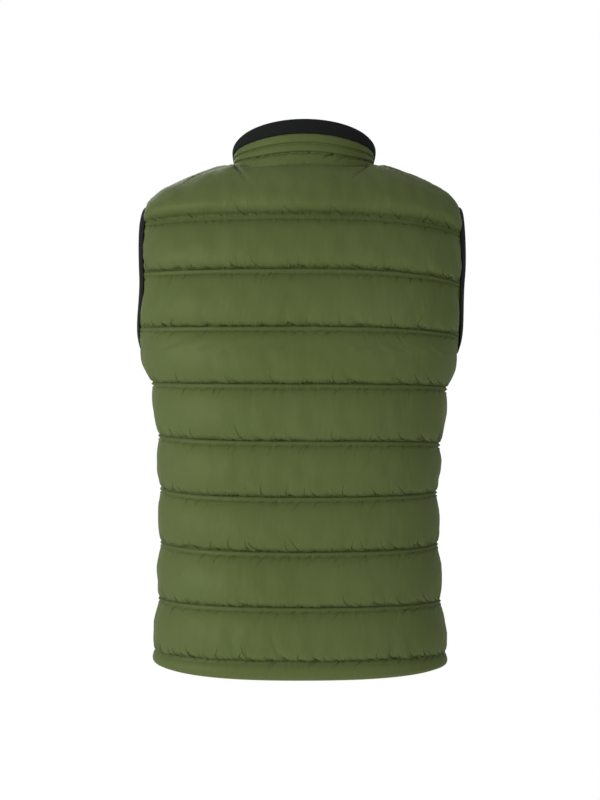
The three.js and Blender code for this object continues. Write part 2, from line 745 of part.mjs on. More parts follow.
// Slider: a plate in front of the tapes and one behind, joined by a post between them, and a
// bridge in front that the pull hangs from. Drawn with its lower end at the origin, on the tapes'
// middle plane.
function sliderGeometry() {
  const { width, height, plate, clear, post } = SLIDER;
  const face = clear + plate;
  const low = height / 2 - BRIDGE.height / 2;
  const high = low + BRIDGE.height;
  const reach = face + BRIDGE.reach;
  const chamfer = BRIDGE.bar * 0.7;
  const bridge = shapeOf([
    [-face + ROOT, low],
    [-reach + chamfer, low],
    [-reach, low + chamfer],
    [-reach, high - chamfer],
    [-reach + chamfer, high],
    [-face + ROOT, high],
    [-face + ROOT, high - BRIDGE.bar],
    [-reach + BRIDGE.bar, high - BRIDGE.bar],
    [-reach + BRIDGE.bar, low + BRIDGE.bar],
    [-face + ROOT, low + BRIDGE.bar],
  ]);
  const pieces = [
    block(clear, face, 0, height, width),
    block(-face, -clear, 0, height, width),
    block(-clear - ROOT, clear + ROOT, ROOT, height - ROOT, post),
    crosswise(bridge, BRIDGE.width),
  ];
  return geometryOf(pieces.map(solidOf).reduce((sum, piece) => sum.add(piece)));
}

// Pull: a flat tab with an eye round the slider's bridge. It hangs from the bar above the eye,
// whose middle is its own origin.
function pullGeometry() {
  const half = PULL.width / 2;
  const bar = PULL.bar / 2;
  const waist = PULL.waist / 2;
  const tab = new THREE.Shape();
  tab.moveTo(-half, bar);
  tab.lineTo(half, bar);
  tab.lineTo(half, -PULL.shoulderAt);
  tab.lineTo(waist, -PULL.waistAt);
  tab.lineTo(half, -PULL.length + half);
  tab.absarc(0, -PULL.length + half, half, 0, -Math.PI, true);
  tab.lineTo(-waist, -PULL.waistAt);
  tab.lineTo(-half, -PULL.shoulderAt);
  const side = BRIDGE.width / 2 + PULL.eyeClear;
  tab.holes.push(
    new THREE.Path([
      new THREE.Vector2(-side, -bar),
      new THREE.Vector2(-side, -PULL.eye),
      new THREE.Vector2(side, -PULL.eye),
      new THREE.Vector2(side, -bar),
    ]),
  );
  const settings = { depth: PULL.bar, bevelEnabled: false, curveSegments: 8 };
  const geometry = new THREE.ExtrudeGeometry(tab, settings);
  geometry.translate(0, 0, -PULL.bar / 2).rotateX(Math.PI / 2);
  return geometryOf(solidOf(geometry));
}

// The retaining box at the zip's lower end.
function boxGeometry() {
  return block(-ZIP_BOX.depth / 2, ZIP_BOX.depth / 2, 0, ZIP_BOX.height, ZIP_BOX.width);
}

function named(name, geometry, material) {
  const mesh = new THREE.Mesh(geometry, material);
  mesh.name = name;
  return mesh;
}

const vest = new THREE.Group();

const backLeft = halfBack("left");
const backRight = mirrored(halfBack("right"));
const backRows = backLeft.map((row, j) => ({
  inner: row.inner,
  places: backRight[j].places.slice(1).reverse().concat(row.places),
}));
const frontLeft = halfFront("left");
const frontRight = mirrored(halfFront("right"));

// The armhole edges, taken before the panels are drawn in from their seams. The last place on the
// side seam is the underarm.
function armholeEdge(rows, end) {
  const edge = rows.map((row) => row.places[end ? row.places.length - 1 : 0]);
  const first = edge.findIndex((place) => Math.abs(place.point.y) > 2);
  return edge.slice(first - 1);
}
const armholes = {
  left: [armholeEdge(backRows, true), armholeEdge(frontLeft, true)],
  right: [armholeEdge(backRows, false), armholeEdge(frontRight, true)],
};

vest.add(named("back_panel", panelGeometry(drawnIn(backRows, { start: true, end: true })), OLIVE));
vest.add(named("front_left", panelGeometry(drawnIn(frontLeft, { end: true })), OLIVE));
vest.add(named("front_right", panelGeometry(drawnIn(frontRight, { end: true })), OLIVE));
vest.add(named("collar", collarGeometry(), OLIVE));
vest.add(named("collar_band", collarBandGeometry(), BLACK_KNIT));
for (const hand of ["left", "right"]) {
  vest.add(named(`armhole_binding_${hand}`, armholeBinding(...armholes[hand]), BLACK_KNIT));
}

const zip = zipPlaces(frontLeft);
const tapeMiddle = SEAM_GAP + ZIP.tape / 2;
for (const [hand, sign] of [
  ["left", 1],
  ["right", -1],
]) {
  const tape = zipStrip(zip, sign, ZIP.tapeFrom, ZIP.tapeTo, SEAM_GAP, SEAM_GAP + ZIP.tape);
  vest.add(named(`zip_tape_${hand}`, tape, BLACK_TAPE));
}

// Places on the tapes' middle line, by distance up from the hem.
const middleLine = zip.map(({ point, across, normal }) => {
  const flat = normal.clone().setX(0).normalize();
  const middle = point.clone().addScaledVector(across, -point.x / across.x);
  return middle.addScaledVector(flat, -tapeMiddle);
});
const runs = [0];
for (let i = 1; i < middleLine.length; i += 1) {
  runs.push(runs[i - 1] + middleLine[i].distanceTo(middleLine[i - 1]));
}
const zipLength = runs[runs.length - 1];

function onZip(run) {
  let i = 0;
  while (i < runs.length - 2 && runs[i + 1] < run) i += 1;
  const up = middleLine[i + 1].clone().sub(middleLine[i]).normalize();
  const point = middleLine[i].clone().addScaledVector(up, run - runs[i]);
  return { point, up };
}

function placeOnZip(mesh, run) {
  const { point, up } = onZip(run);
  mesh.position.copy(leaned(point));
  const upwards = leaned(point.clone().add(up)).sub(mesh.position).normalize();
  mesh.quaternion.setFromUnitVectors(new THREE.Vector3(0, 0, 1), upwards);
  return mesh;
}

const sliderFoot = zipLength - SLIDER.belowTop - SLIDER.height;
const teethFoot = ZIP_BOX.height + 2 * SEAM_GAP;
const teethTop = sliderFoot - SEAM_GAP;
const between = runs.filter((run) => run > teethFoot + 1 && run < teethTop - 1);
const teethRuns = [teethFoot, ...between, teethTop];
const teethRings = teethRuns.map((run) => {
  const { point, up } = onZip(run);
  const out = new THREE.Vector3(0, -up.z, up.y);
  const half = ZIP.teethDepth / 2;
  return [
    [-ZIP.teethHalfWidth, half],
    [ZIP.teethHalfWidth, half],
    [ZIP.teethHalfWidth, -half],
    [-ZIP.teethHalfWidth, -half],
  ].map(([x, off]) => point.clone().addScaledVector(out, off).setX(x));
});
vest.add(named("zip_teeth", sweptGeometry(teethRings, false), BLACK_NYLON));
vest.add(placeOnZip(named("zip_box", boxGeometry(), GUNMETAL), SEAM_GAP));
const slider = placeOnZip(named("zip_slider", sliderGeometry(), GUNMETAL), sliderFoot);
vest.add(slider);

// The pull turns about the middle of the slider's bridge.
const pull = named("zip_pull", pullGeometry(), GUNMETAL);
const hingeOut = SLIDER.clear + SLIDER.plate + (BRIDGE.reach - BRIDGE.bar) / 2;
const hinge = new THREE.Vector3(0, -hingeOut, SLIDER.height / 2);
pull.position.copy(hinge.applyQuaternion(slider.quaternion).add(slider.position));
pull.quaternion.copy(slider.quaternion);
vest.add(pull);

export default vest;
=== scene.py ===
# A men's quilted padded vest with a stand collar, zipped up and filled out as when worn, seen from
# behind. Lengths are in millimetres until a mesh is made; MM turns them to metres.
import math

import bmesh
import bpy
import numpy as np
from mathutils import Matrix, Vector


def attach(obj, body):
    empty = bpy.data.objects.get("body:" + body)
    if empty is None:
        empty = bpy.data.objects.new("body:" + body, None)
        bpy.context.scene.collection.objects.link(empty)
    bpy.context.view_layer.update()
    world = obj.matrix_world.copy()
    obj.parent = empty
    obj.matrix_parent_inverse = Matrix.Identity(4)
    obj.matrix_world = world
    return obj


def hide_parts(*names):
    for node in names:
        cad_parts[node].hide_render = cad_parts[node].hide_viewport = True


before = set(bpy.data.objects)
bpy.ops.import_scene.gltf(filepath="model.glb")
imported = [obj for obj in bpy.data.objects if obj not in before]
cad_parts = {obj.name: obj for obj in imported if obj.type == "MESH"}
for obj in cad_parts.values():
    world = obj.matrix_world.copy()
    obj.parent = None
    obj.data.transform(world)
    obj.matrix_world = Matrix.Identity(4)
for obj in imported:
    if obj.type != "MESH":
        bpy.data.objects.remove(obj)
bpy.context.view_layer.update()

# Camera: level with the middle of the vest and two metres behind it, with a short portrait lens.
CAMERA_DISTANCE = 2.0
CAMERA_HEIGHT = -0.317
LENS = 64.8
camera = bpy.data.objects.new("camera", bpy.data.cameras.new("camera"))
camera.data.lens = LENS
camera.location = (0, CAMERA_DISTANCE, CAMERA_HEIGHT)
camera.rotation_euler = (math.radians(90), 0, math.radians(180))
bpy.context.collection.objects.link(camera)
bpy.context.scene.camera = camera

# Cut of the body. The shell is drafted as level rings round the wearer: half width at the side
# seams, depth behind and in front of them, and how far each level leans to the wearer's left.
MM = 0.001
RING_COLUMNS = ("z", "half_width", "back", "front", "lean")
BODY_RINGS = dict(zip(RING_COLUMNS, np.array([
    (-684, 201, 118, 122, 0),
    (-659, 200.5, 118, 123, 0),
    (-591, 193.5, 115, 123, 0.5),
    (-519, 190.5, 110, 121, 1),
    (-447, 190, 108, 121, 2),
    (-373, 193.5, 113, 124, 0.5),
    (-298, 203, 120, 128, 0),
    (-223, 225, 125, 127, 0),
    (-148, 233.5, 125, 117, -3),
    (-85, 236, 125, 102, -3),
    (40, 236, 125, 80, -6),
], float).T))
SECTION_POWER = 2.4
ARCH_BASE = -148
NECK_HALF_WIDTH = 95
NECK_BACK = 75
NECK_FRONT = 95
SHOULDER_TIP = 212
CREST_SLOPE = 0.27
CREST_DROP = 0.00125
CREST_RISE = 29
SHOULDER_SEAM = 77
ARMHOLE_BACK = 62
ARMHOLE_FRONT = 64
ARMHOLE_BELOW = 101.5
UNDERARM = ARCH_BASE - ARMHOLE_BELOW


def ring_size(name, z):
    """A smooth curve through one column of the rings."""
    levels = BODY_RINGS["z"]
    sizes = BODY_RINGS[name]
    last = len(levels) - 1
    i = np.searchsorted(levels[1:-1], z, side="left")

    def slope(k):
        before = np.maximum(k - 1, 0)
        after = np.minimum(k + 1, last)
        return (sizes[after] - sizes[before]) / (levels[after] - levels[before])

    span = levels[i + 1] - levels[i]
    t = np.clip((z - levels[i]) / span, 0, 1)
    low = (2 * t**3 - 3 * t**2 + 1) * sizes[i] + (t**3 - 2 * t**2 + t) * span * slope(i)
    high = (3 * t**2 - 2 * t**3) * sizes[i + 1] + (t**3 - t**2) * span * slope(i + 1)
    return low + high


def crest_height(x):
    beyond = np.maximum(0, np.abs(x) - NECK_HALF_WIDTH)
    inward = np.maximum(0, 1 - (x / NECK_HALF_WIDTH) ** 2) ** 2
    return CREST_RISE * inward - CREST_SLOPE * beyond - CREST_DROP * beyond**2


def arch_sine(x, z):
    """Share of the crest's height above the arch base at which a level lies."""
    return np.clip((z - ARCH_BASE) / (crest_height(x) - ARCH_BASE), 0, 1)


def level_point(ratio, z, side):
    """The form at a level. ratio is 0 at the centre and 1 at the side seam; side is 1 behind."""
    x = ring_size("half_width", z) * ratio ** (2 / SECTION_POWER)
    depth = ring_size("back" if side > 0 else "front", z)
    arch = np.sqrt(1 - arch_sine(x, z) ** 2)
    y = side * depth * np.maximum(0, 1 - ratio**2) ** (1 / SECTION_POWER) * arch
    return np.stack([x, y, z + 0 * x], axis=-1)


def arch_point(x, angle):
    """The form over the shoulder. angle is 0 behind, 90 on the crest and 180 in front."""
    turn = np.radians(angle)
    z = ARCH_BASE + (crest_height(x) - ARCH_BASE) * np.sin(turn)
    depth = np.where(angle < 90, ring_size("back", z), ring_size("front", z))
    across = np.minimum(1, (np.abs(x) / ring_size("half_width", z)) ** SECTION_POWER)
    y = np.cos(turn) * depth * (1 - across) ** (1 / SECTION_POWER)
    return np.stack([x + 0 * y, y, z], axis=-1)


def unit(vectors):
    return vectors / np.maximum(np.linalg.norm(vectors, axis=-1, keepdims=True), 1e-9)


def facing(point, step_across, step_up, outward):
    normal = unit(np.cross(step_across - point, step_up - point))
    return np.where((normal * outward).sum(-1, keepdims=True) < 0, -normal, normal)


def level_places(ratio, z, side):
    step = 1e-3
    point = level_point(ratio, z, side)
    across = level_point(np.where(ratio > 0.5, ratio - step, ratio + step), z, side)
    outward = point * (1, 1, 0)
    return point, facing(point, across, level_point(ratio, z + step, side), outward)


def arch_places(x, angle):
    point = arch_point(x, angle)
    turn = np.radians(angle)
    outward = np.stack([0 * turn, np.cos(turn), np.sin(turn)], axis=-1)
    return point, facing(point, arch_point(x + 0.01, angle), arch_point(x, angle + 0.02), outward)


def edge_ratio(z, side):
    """How far across a level the panel reaches: to the side seam, or to the armhole."""
    if z <= UNDERARM:
        return 1.0
    reach = ARMHOLE_BACK if side > 0 else ARMHOLE_FRONT
    depth_name = "back" if side > 0 else "front"

    def ratio_at(y, level):
        return math.sqrt(1 - (y / ring_size(depth_name, level)) ** SECTION_POWER)

    if z <= ARCH_BASE:
        down = (ARCH_BASE - z) / ARMHOLE_BELOW
        return ratio_at(reach * math.sqrt(1 - down**2), z)
    width = ring_size("half_width", ARCH_BASE)
    width_at_base = width * ratio_at(reach, ARCH_BASE) ** (2 / SECTION_POWER)
    up = min(1, (z - ARCH_BASE) / (crest_height(SHOULDER_TIP) - ARCH_BASE))
    return ((width_at_base + (SHOULDER_TIP - width_at_base) * up) / width) ** (SECTION_POWER / 2)


FINE_STEPS = 241


def run_along(points):
    """Distance along each row of points from its start."""
    steps = np.linalg.norm(np.diff(points, axis=-2), axis=-1)
    start = np.zeros(steps.shape[:-1] + (1,))
    return np.concatenate([start, np.cumsum(steps, axis=-1)], axis=-1)


def level_row(z, rise, side, start_x, columns):
    """Half a panel's row, from start_x to the edge, on a level that rises by rise there."""
    start = (start_x / ring_size("half_width", z)) ** (SECTION_POWER / 2)
    end = edge_ratio(z, side)

    def at(t):
        turn = math.asin(start) + (math.asin(end) - math.asin(start)) * t
        return np.sin(turn), z + rise * t**2

    fine = np.linspace(0, 1, FINE_STEPS)
    runs = run_along(level_point(*at(fine), side))
    t = np.interp(np.linspace(0, runs[-1], columns + 1), runs, fine)
    return level_places(*at(t), side)


def neck_angles(turn):
    """The neckline: an egg-shaped oval seen from above, lying on the form. turn is 0 behind."""
    turn = np.asarray(turn, float)
    x = NECK_HALF_WIDTH * np.sin(np.radians(turn))
    y = np.where(turn < 90, NECK_BACK, NECK_FRONT) * np.cos(np.radians(turn))
    low = np.where(y > 0, 0.0, 90.0)
    high = low + 90
    for _ in range(40):
        middle = (low + high) / 2
        above = arch_point(x, middle)[..., 1] > y
        low = np.where(above, middle, low)
        high = np.where(above, high, middle)
    return x, (low + high) / 2


ZIP_EDGE = 5.6
TURNS = np.linspace(40, 89.9, 4000)
TURN_AT_SHOULDER = float(np.interp(SHOULDER_SEAM, neck_angles(TURNS)[1], TURNS))
TURN_AT_ZIP = 180 - math.degrees(math.asin(ZIP_EDGE / NECK_HALF_WIDTH))
NECK_AT_ZIP = arch_point(*neck_angles(TURN_AT_ZIP))

# Quilting of the body. Twin rows of lockstitch run round the vest through shell, wadding and inner
# cloth, and the filling puffs the channels between them. Each line sits a little unevenly: its
# height at the centre, and its rise at the wearer's left and right edges.
STITCH_LINES = (
    (-659, -1, -6),
    (-591, 2, -3),
    (-519, 7, 4),
    (-447, 9, 3),
    (-373, 8, -7),
    (-298, 4, -5),
    (-223, 2, -10),
    (-148, 0, -15),
    (-76, -3, -18),
)
HEM = (-684, 14, 9)
LEFT = 1
RIGHT = 2
TWIN_ROWS = 6
TWIN_RIDGE = 1.5
FRONT_TOP_RISE = 6
PUFF_BODY = 17
PUFF_YOKE = 20
PUFF_HEM = 8
STITCH_DEPTH = 1.6
LOWEST_CHANNEL = 0.86  # how full the one above the hem is
SIDE_FADE = 46
SIDE_TAPER = 1.3  # how much slower a channel's lower end fills out from the side seam
ARMHOLE_FADE = 22
UNDERARM_BLEND = 100
SHOULDER_END_FADE = 11
ZIP_FADE = 16
NECK_FADE = 5
LOW_FADE = 5
WALL = 2.6
NECK_SHARE = 6 / 13  # of the back's half width at the top that lies on the neckline
HALF_COLUMNS = 65
FRONT_COLUMNS = 60
HEM_SHARES = (0, 0.1, 0.3, 0.55, 0.8, 1)
CHANNEL_SHARES = np.array([0, 0.025, 0.06, 0.105, 0.16, 0.225, 0.3, 0.385, 0.48, 0.58, 0.69, 0.8, 0.89, 0.945, 0.98, 1])
YOKE_SHARES = np.concatenate([[0, 0.012, 0.03, 0.055, 0.085], np.linspace(0.12, 0.95, 18), [0.98, 1]])
LIP_SHARE = 0.06  # of a channel's height, over which its lower edge turns out over the stitching
LIP_DROP = 2.8
LIP_ROUND = 12  # the part of a channel's height that faces down to the stitching
CHANNEL_HEIGHT = 66
YOKE_HEIGHT = 130
YOKE_SLOPE = 3
YOKE_FULLNESS = 0.45
SIDE_PUFF = 2.0
SIDE_SLOPE = 1.5
SIDE_RANGE = 30
TOP_SLOPE = 2.4
TOP_FULLNESS = 0.8


def channel_shape(share):
    """How full a channel is: it hangs over the stitching below and slopes in to that above."""
    share = np.asarray(share, float)
    lip = 1 - np.exp(-share / LIP_SHARE)
    return lip * np.maximum(0, 1 - share**TOP_SLOPE) ** TOP_FULLNESS


def yoke_shape(share):
    """The same for the yoke, which fills out as a channel does and rounds over the shoulder."""
    share = np.asarray(share, float)
    lip = 1 - np.exp(-share * YOKE_HEIGHT / CHANNEL_HEIGHT / LIP_SHARE)
    return lip * np.maximum(0, 1 - share**YOKE_SLOPE) ** YOKE_FULLNESS


def lip_drop(share):
    """How far the cloth sags over the stitching at a share of the channel's height."""
    share = np.asarray(share, float)
    return LIP_DROP * share / LIP_SHARE * np.exp(1 - share / LIP_SHARE)


def fade(distance, reach):
    return 1 - np.exp(-distance / reach)


def underarm_shares(low, high):
    """Channel shares that have close rows just over the underarm, where the armhole opens."""
    meet = (UNDERARM - low) / (high - low)
    below = CHANNEL_SHARES[CHANNEL_SHARES < meet - 0.04]
    above = meet + (1 - meet) * np.array([0, 0.13, 0.3, 0.5, 0.7, 0.85, 0.95, 1])
    return np.concatenate([below, above])


def row_plan(lines, hem):
    """Rows up to the ridge of the top line: height, rise, puff and, for each, how it is held."""
    rows = []
    blocks = []

    def add(z, rise, puff, stitched, drop=0.0, side=0.0, taper=1.0):
        rows.append((z, rise, puff, stitched, drop, side, taper))

    for share in HEM_SHARES:
        z = hem[0] + (lines[0][0] - hem[0]) * share
        rise = hem[1] + (lines[0][1] - hem[1]) * share
        puff = -STITCH_DEPTH if share == 1 else PUFF_HEM * channel_shape(share)
        add(z, rise, puff, share == 1)
    blocks.append((0, len(rows) - 1))
    for k in range(len(lines) - 1):
        (low, low_rise), (high, high_rise) = lines[k], lines[k + 1]
        if k > 0:
            add(low, low_rise, TWIN_RIDGE, False)
            low += TWIN_ROWS / 2
        else:
            low += 1
        high -= TWIN_ROWS / 2
        crosses = low < UNDERARM < high
        first = len(rows)
        for share in underarm_shares(low, high) if crosses else CHANNEL_SHARES:
            z = low + (high - low) * share
            rise = low_rise + (high_rise - low_rise) * share
            ends = share < 1e-9 or share > 1 - 1e-9
            sewn = ends and not (k == 0 and share < 0.5)
            puff = 0 if ends else PUFF_BODY * channel_shape(share) * (LOWEST_CHANNEL if k == 0 else 1)
            at_side = SIDE_PUFF * math.sin(math.pi * min(1, max(0, share)) ** SIDE_SLOPE)
            taper = 1 + SIDE_TAPER * (1 - share) ** 2
            add(z, rise, -STITCH_DEPTH if sewn else puff, sewn, 0 if ends else lip_drop(share), at_side, taper)
        blocks.append((first, len(rows) - 1))
    add(*lines[-1], TWIN_RIDGE, False)
    return rows, blocks


def yoke_patch(bottom, top, inner, outer):
    """Blends four edges, each given as x and arch angle, into a patch of both."""
    s = np.linspace(0, 1, len(bottom[0]))
    w = YOKE_SHARES[:, None]
    patch = []
    for low, high, start, end in zip(bottom, top, inner, outer):
        upright = (1 - w) * low + w * high
        level = (1 - s) * start[:, None] + s * end[:, None]
        at_start = (1 - w) * low[0] + w * high[0]
        at_end = (1 - w) * low[-1] + w * high[-1]
        patch.append(upright + level - (1 - s) * at_start - s * at_end)
    return patch


def arch_edge(points, side):
    x = points[:, 0]
    angle = np.degrees(np.arcsin(arch_sine(x, points[:, 2])))
    return x, angle if side > 0 else 180 - angle


def distance_to(points, line):
    """How far each point lies from the nearest place of a line, taken as steps across it."""
    nearest = np.full(points.shape[:2], np.inf)
    for start, end in zip(line[:-1], line[1:]):
        way = end - start
        share = ((points - start) @ way) / max(way @ way, 1e-9)
        foot = start + np.clip(share, 0, 1)[..., None] * way
        nearest = np.minimum(nearest, np.linalg.norm(points - foot, axis=-1))
    return nearest


def half_panel(hand, side):
    """Half of the back, or a front: its cloth on the form, the way that it faces, and its puff.
    Every array has a row for each level and a column for each step out from the middle."""
    lines = [(line[0], line[hand]) for line in STITCH_LINES]
    start_x = 0 if side > 0 else ZIP_EDGE
    columns = HALF_COLUMNS if side > 0 else FRONT_COLUMNS
    if side < 0:
        lines[-1] = (NECK_AT_ZIP[2] - TWIN_ROWS / 2, lines[-1][1] + FRONT_TOP_RISE)
    rows, blocks = row_plan(lines, (HEM[0], HEM[hand]))
    places = [level_row(row[0], row[1], side, start_x, columns) for row in rows]
    points = np.array([place[0] for place in places])
    normals = np.array([place[1] for place in places])
    heights = np.array([row[0] for row in rows])[:, None]
    puffs = np.array([row[2] for row in rows])[:, None]
    drops = np.array([row[4] for row in rows])[:, None]
    is_low = puffs <= TWIN_RIDGE
    to_edge = distance_to(points, points[:, -1])
    under_arm = np.clip((heights - UNDERARM) / UNDERARM_BLEND + 0.5, 0, 1)
    tapers = np.array([row[6] for row in rows])[:, None]
    side_reach = SIDE_FADE * tapers
    edge_reach = np.where(is_low, LOW_FADE, side_reach + (ARMHOLE_FADE - side_reach) * under_arm)
    full = fade(to_edge, edge_reach)
    if start_x > 0:
        full = full * fade(run_along(points), np.where(is_low, LOW_FADE, ZIP_FADE))
    at_sides = np.array([row[5] for row in rows])[:, None]
    below_arm = np.clip((UNDERARM - heights) / SIDE_RANGE, 0, 1)
    puffs = puffs * full + at_sides * (1 - fade(to_edge, SIDE_FADE)) * below_arm
    drops = drops * full
    top_z, top_rise = lines[-1]
    low_points, _ = level_row(top_z + TWIN_ROWS / 2, top_rise, side, start_x, columns)
    bottom = arch_edge(low_points, side)
    shoulder_x, _ = neck_angles(TURN_AT_SHOULDER)
    s = np.linspace(0, 1, columns + 1)
    w = YOKE_SHARES
    seam_share = (s - NECK_SHARE) / (1 - NECK_SHARE) if side > 0 else s
    top_x = shoulder_x + (SHOULDER_TIP - shoulder_x) * np.maximum(seam_share, 0)
    top_angle = np.full(columns + 1, float(SHOULDER_SEAM))
    if side > 0:
        neck_x, neck_angle = neck_angles(TURN_AT_SHOULDER * np.minimum(s / NECK_SHARE, 1))
        on_neck = s < NECK_SHARE
        top_x = np.where(on_neck, neck_x, top_x)
        top_angle = np.where(on_neck, neck_angle, top_angle)
        inner = (0 * w, bottom[1][0] + (top_angle[0] - bottom[1][0]) * w)
    else:
        inner = neck_angles(TURN_AT_ZIP + (TURN_AT_SHOULDER - TURN_AT_ZIP) * w)
    outer = (
        bottom[0][-1] + (SHOULDER_TIP - bottom[0][-1]) * w,
        bottom[1][-1] + (SHOULDER_SEAM - bottom[1][-1]) * w,
    )
    x, angle = yoke_patch(bottom, (top_x, top_angle), inner, outer)
    point, normal = arch_places(x, angle)
    runs = run_along(point)
    full = fade(runs[:, -1:] - runs, SHOULDER_END_FADE)
    if side < 0:
        full = full * fade(runs, NECK_FADE)
    puff = PUFF_YOKE * yoke_shape(w)[:, None] * full
    drop = lip_drop(w * YOKE_HEIGHT / CHANNEL_HEIGHT)[:, None] * full
    puff[0] = -STITCH_DEPTH * full[0]
    puff[-1] = 0
    drop[[0, -1]] = 0
    blocks.append((len(rows), len(rows) + len(w) - 1))
    stitched = [j for j, row in enumerate(rows) if row[3]] + [len(rows)]
    return {
        "point": np.concatenate([points, point]),
        "normal": np.concatenate([normals, normal]),
        "puff": np.concatenate([puffs, puff])[..., None],
        "drop": np.concatenate([drops, drop])[..., None],
        "to_edge": np.concatenate([to_edge, runs[:, -1:] - runs])[..., None],
        "blocks": blocks,
        "stitched": stitched,
    }


GRIDS = ("point", "normal", "puff", "drop", "to_edge")


def mirrored(half):
    flip = np.array([-1, 1, 1])
    return {**half, "point": half["point"] * flip, "normal": half["normal"] * flip}


def backwards(half):
    """The same cloth with its columns counted from the other end."""
    turned = {key: half[key][:, ::-1] for key in GRIDS}
    return {**half, **turned}


def side_by_side(left, right):
    """Joins two halves that share their last and first columns."""
    joined = {
        key: np.concatenate([left[key], right[key][:, 1:]], axis=1)
        for key in GRIDS
    }
    return {**left, **joined}


def leaned(points):
    return points + ring_size("lean", points[..., 2])[..., None] * (1, 0, 0)


# Padding of a panel. Shell and inner cloth are cut wider than the body form, so the shell gathers
# a little where it is stitched down and is drawn smooth over the filling between the rows.
EASE_ACROSS = 1.005
EASE_YOKE = 1.025
EASE_UP = 1.0
SIDE_GATHER = 0.45
FILLING_PRESSURE = 4.0
MOST_SWELL = 6.0
SIM_FRAMES = 20
UNEVENNESS = 0.12


def flat_cut(surface, blocks):
    """The cloth as cut: every channel laid out flat, as wide as where it is fullest."""
    across = np.linalg.norm(np.diff(surface, axis=1), axis=2)
    upward = np.linalg.norm(np.diff(surface, axis=0), axis=2)
    flat = np.zeros_like(surface)
    base = 0.0
    for number, (first, last) in enumerate(blocks):
        is_yoke = number == len(blocks) - 1
        rows = across[first : last + 1]
        width = rows.mean(axis=0) * EASE_YOKE if is_yoke else rows.max(axis=0) * EASE_ACROSS
        flat[first : last + 1, 1:, 0] = np.cumsum(width)
        own = upward[first:last]
        rise = own + (own.max(axis=1, keepdims=True) - own) * (0 if is_yoke else SIDE_GATHER)
        flat[first : last + 1, :, 1] = base
        flat[first + 1 : last + 1, :, 1] += np.cumsum(rise * EASE_UP, axis=0)
        base = flat[last, :, 1].max() + TWIN_ROWS
        if last + 1 < len(flat):
            flat[last + 1, :, 0] = flat[last, :, 0]
            flat[last + 1, :, 1] = base - TWIN_ROWS / 2
    return flat


def grid_mesh(name, points, uv=None, from_seams=None, channel=None):
    """A mesh of one cloth grid. Its UV maps, in metres, hold its cut and, for quilted cloth, how
    far each place is from the stitching below and above it and where its channel's creases are."""
    rows, columns = points.shape[:2]
    bm = bmesh.new()
    bmesh.ops.create_grid(bm, x_segments=columns - 1, y_segments=rows - 1, size=1)
    mesh = bpy.data.meshes.new(name)
    bm.to_mesh(mesh)
    bm.free()
    mesh.vertices.foreach_set("co", (points * MM).ravel())
    corners = np.empty(len(mesh.loops), int)
    mesh.loops.foreach_get("vertex_index", corners)
    for map_name, values in (("cut", uv), ("from_seams", from_seams), ("channel", channel)):
        if values is not None:
            layer = mesh.uv_layers.new(name=map_name)
            layer.data.foreach_set("uv", (values.reshape(-1, 2)[corners] * MM).ravel())
    mesh.update()
    return mesh


def filled(name, surface, flat, held, pressure, most_swell):
    """Puffs the cloth out between its stitched rows with the cloth solver."""
    piece = bpy.data.objects.new(name, grid_mesh(name, surface))
    bpy.context.collection.objects.link(piece)
    piece.shape_key_add(name="sewn")
    cut = piece.shape_key_add(name="cut")
    cut.data.foreach_set("co", (flat * MM).ravel())
    group = piece.vertex_groups.new(name="held")
    group.add([int(k) for k in np.flatnonzero(held.ravel())], 1.0, "REPLACE")
    cloth = piece.modifiers.new("filling", "CLOTH")
    cloth.settings.quality = 5
    cloth.settings.mass = 0.3
    cloth.settings.tension_stiffness = 20
    cloth.settings.compression_stiffness = 20
    cloth.settings.shear_stiffness = 8
    cloth.settings.bending_stiffness = 0.3
    cloth.settings.vertex_group_mass = group.name
    cloth.settings.rest_shape_key = cut
    cloth.settings.use_pressure = True
    cloth.settings.uniform_pressure_force = pressure
    cloth.settings.effector_weights.gravity = 0
    cloth.collision_settings.use_collision = False
    cloth.point_cache.frame_start = 1
    cloth.point_cache.frame_end = SIM_FRAMES
    for step in range(1, SIM_FRAMES + 1):
        bpy.context.scene.frame_set(step)
    settled = piece.evaluated_get(bpy.context.evaluated_depsgraph_get()).data
    places = np.empty(surface.size)
    settled.vertices.foreach_get("co", places)
    bpy.context.scene.frame_set(1)
    mesh = piece.data
    bpy.data.objects.remove(piece)
    bpy.data.meshes.remove(mesh)
    move = places.reshape(surface.shape) / MM - surface
    length = np.linalg.norm(move, axis=-1, keepdims=True)
    return surface + move * np.minimum(1, most_swell / np.maximum(length, 1e-6))


UPWARD = 0  # the axis of a grid that runs up the cloth
ACROSS = 1  # and the one that runs across it


def finer(points, axis):
    """Twice as many rows or columns, the new ones on a smooth curve through their neighbours."""
    line = np.moveaxis(points, axis, 0)
    before = 2 * line[:1] - line[1:2]
    after = 2 * line[-1:] - line[-2:-1]
    wide = np.concatenate([before, line, after])
    made = np.empty((2 * len(line) - 1,) + line.shape[1:])
    made[::2] = line
    made[1::2] = (9 * (wide[1:-2] + wide[2:-1]) - wide[:-3] - wide[3:]) / 16
    return np.moveaxis(made, 0, axis)


def fine_across(points):
    return finer(finer(points, ACROSS), ACROSS)


def grid_normals(points):
    return unit(np.cross(np.gradient(points, axis=1), np.gradient(points, axis=0)))


def sink_crease(relief, off, height, length, depth, width, lean):
    """One trough that starts where off and height are 0. Its steep side is where width points."""
    reach = np.clip(1 - height / length, 0, 1)
    off = off - lean * np.maximum(0, height - LIP_ROUND)
    wide = abs(width) * (0.35 + 0.65 * reach) * np.where(off * width > 0, STEEP_SHARE, 1)
    relief -= depth * reach * np.exp(-((off / wide) ** 2))


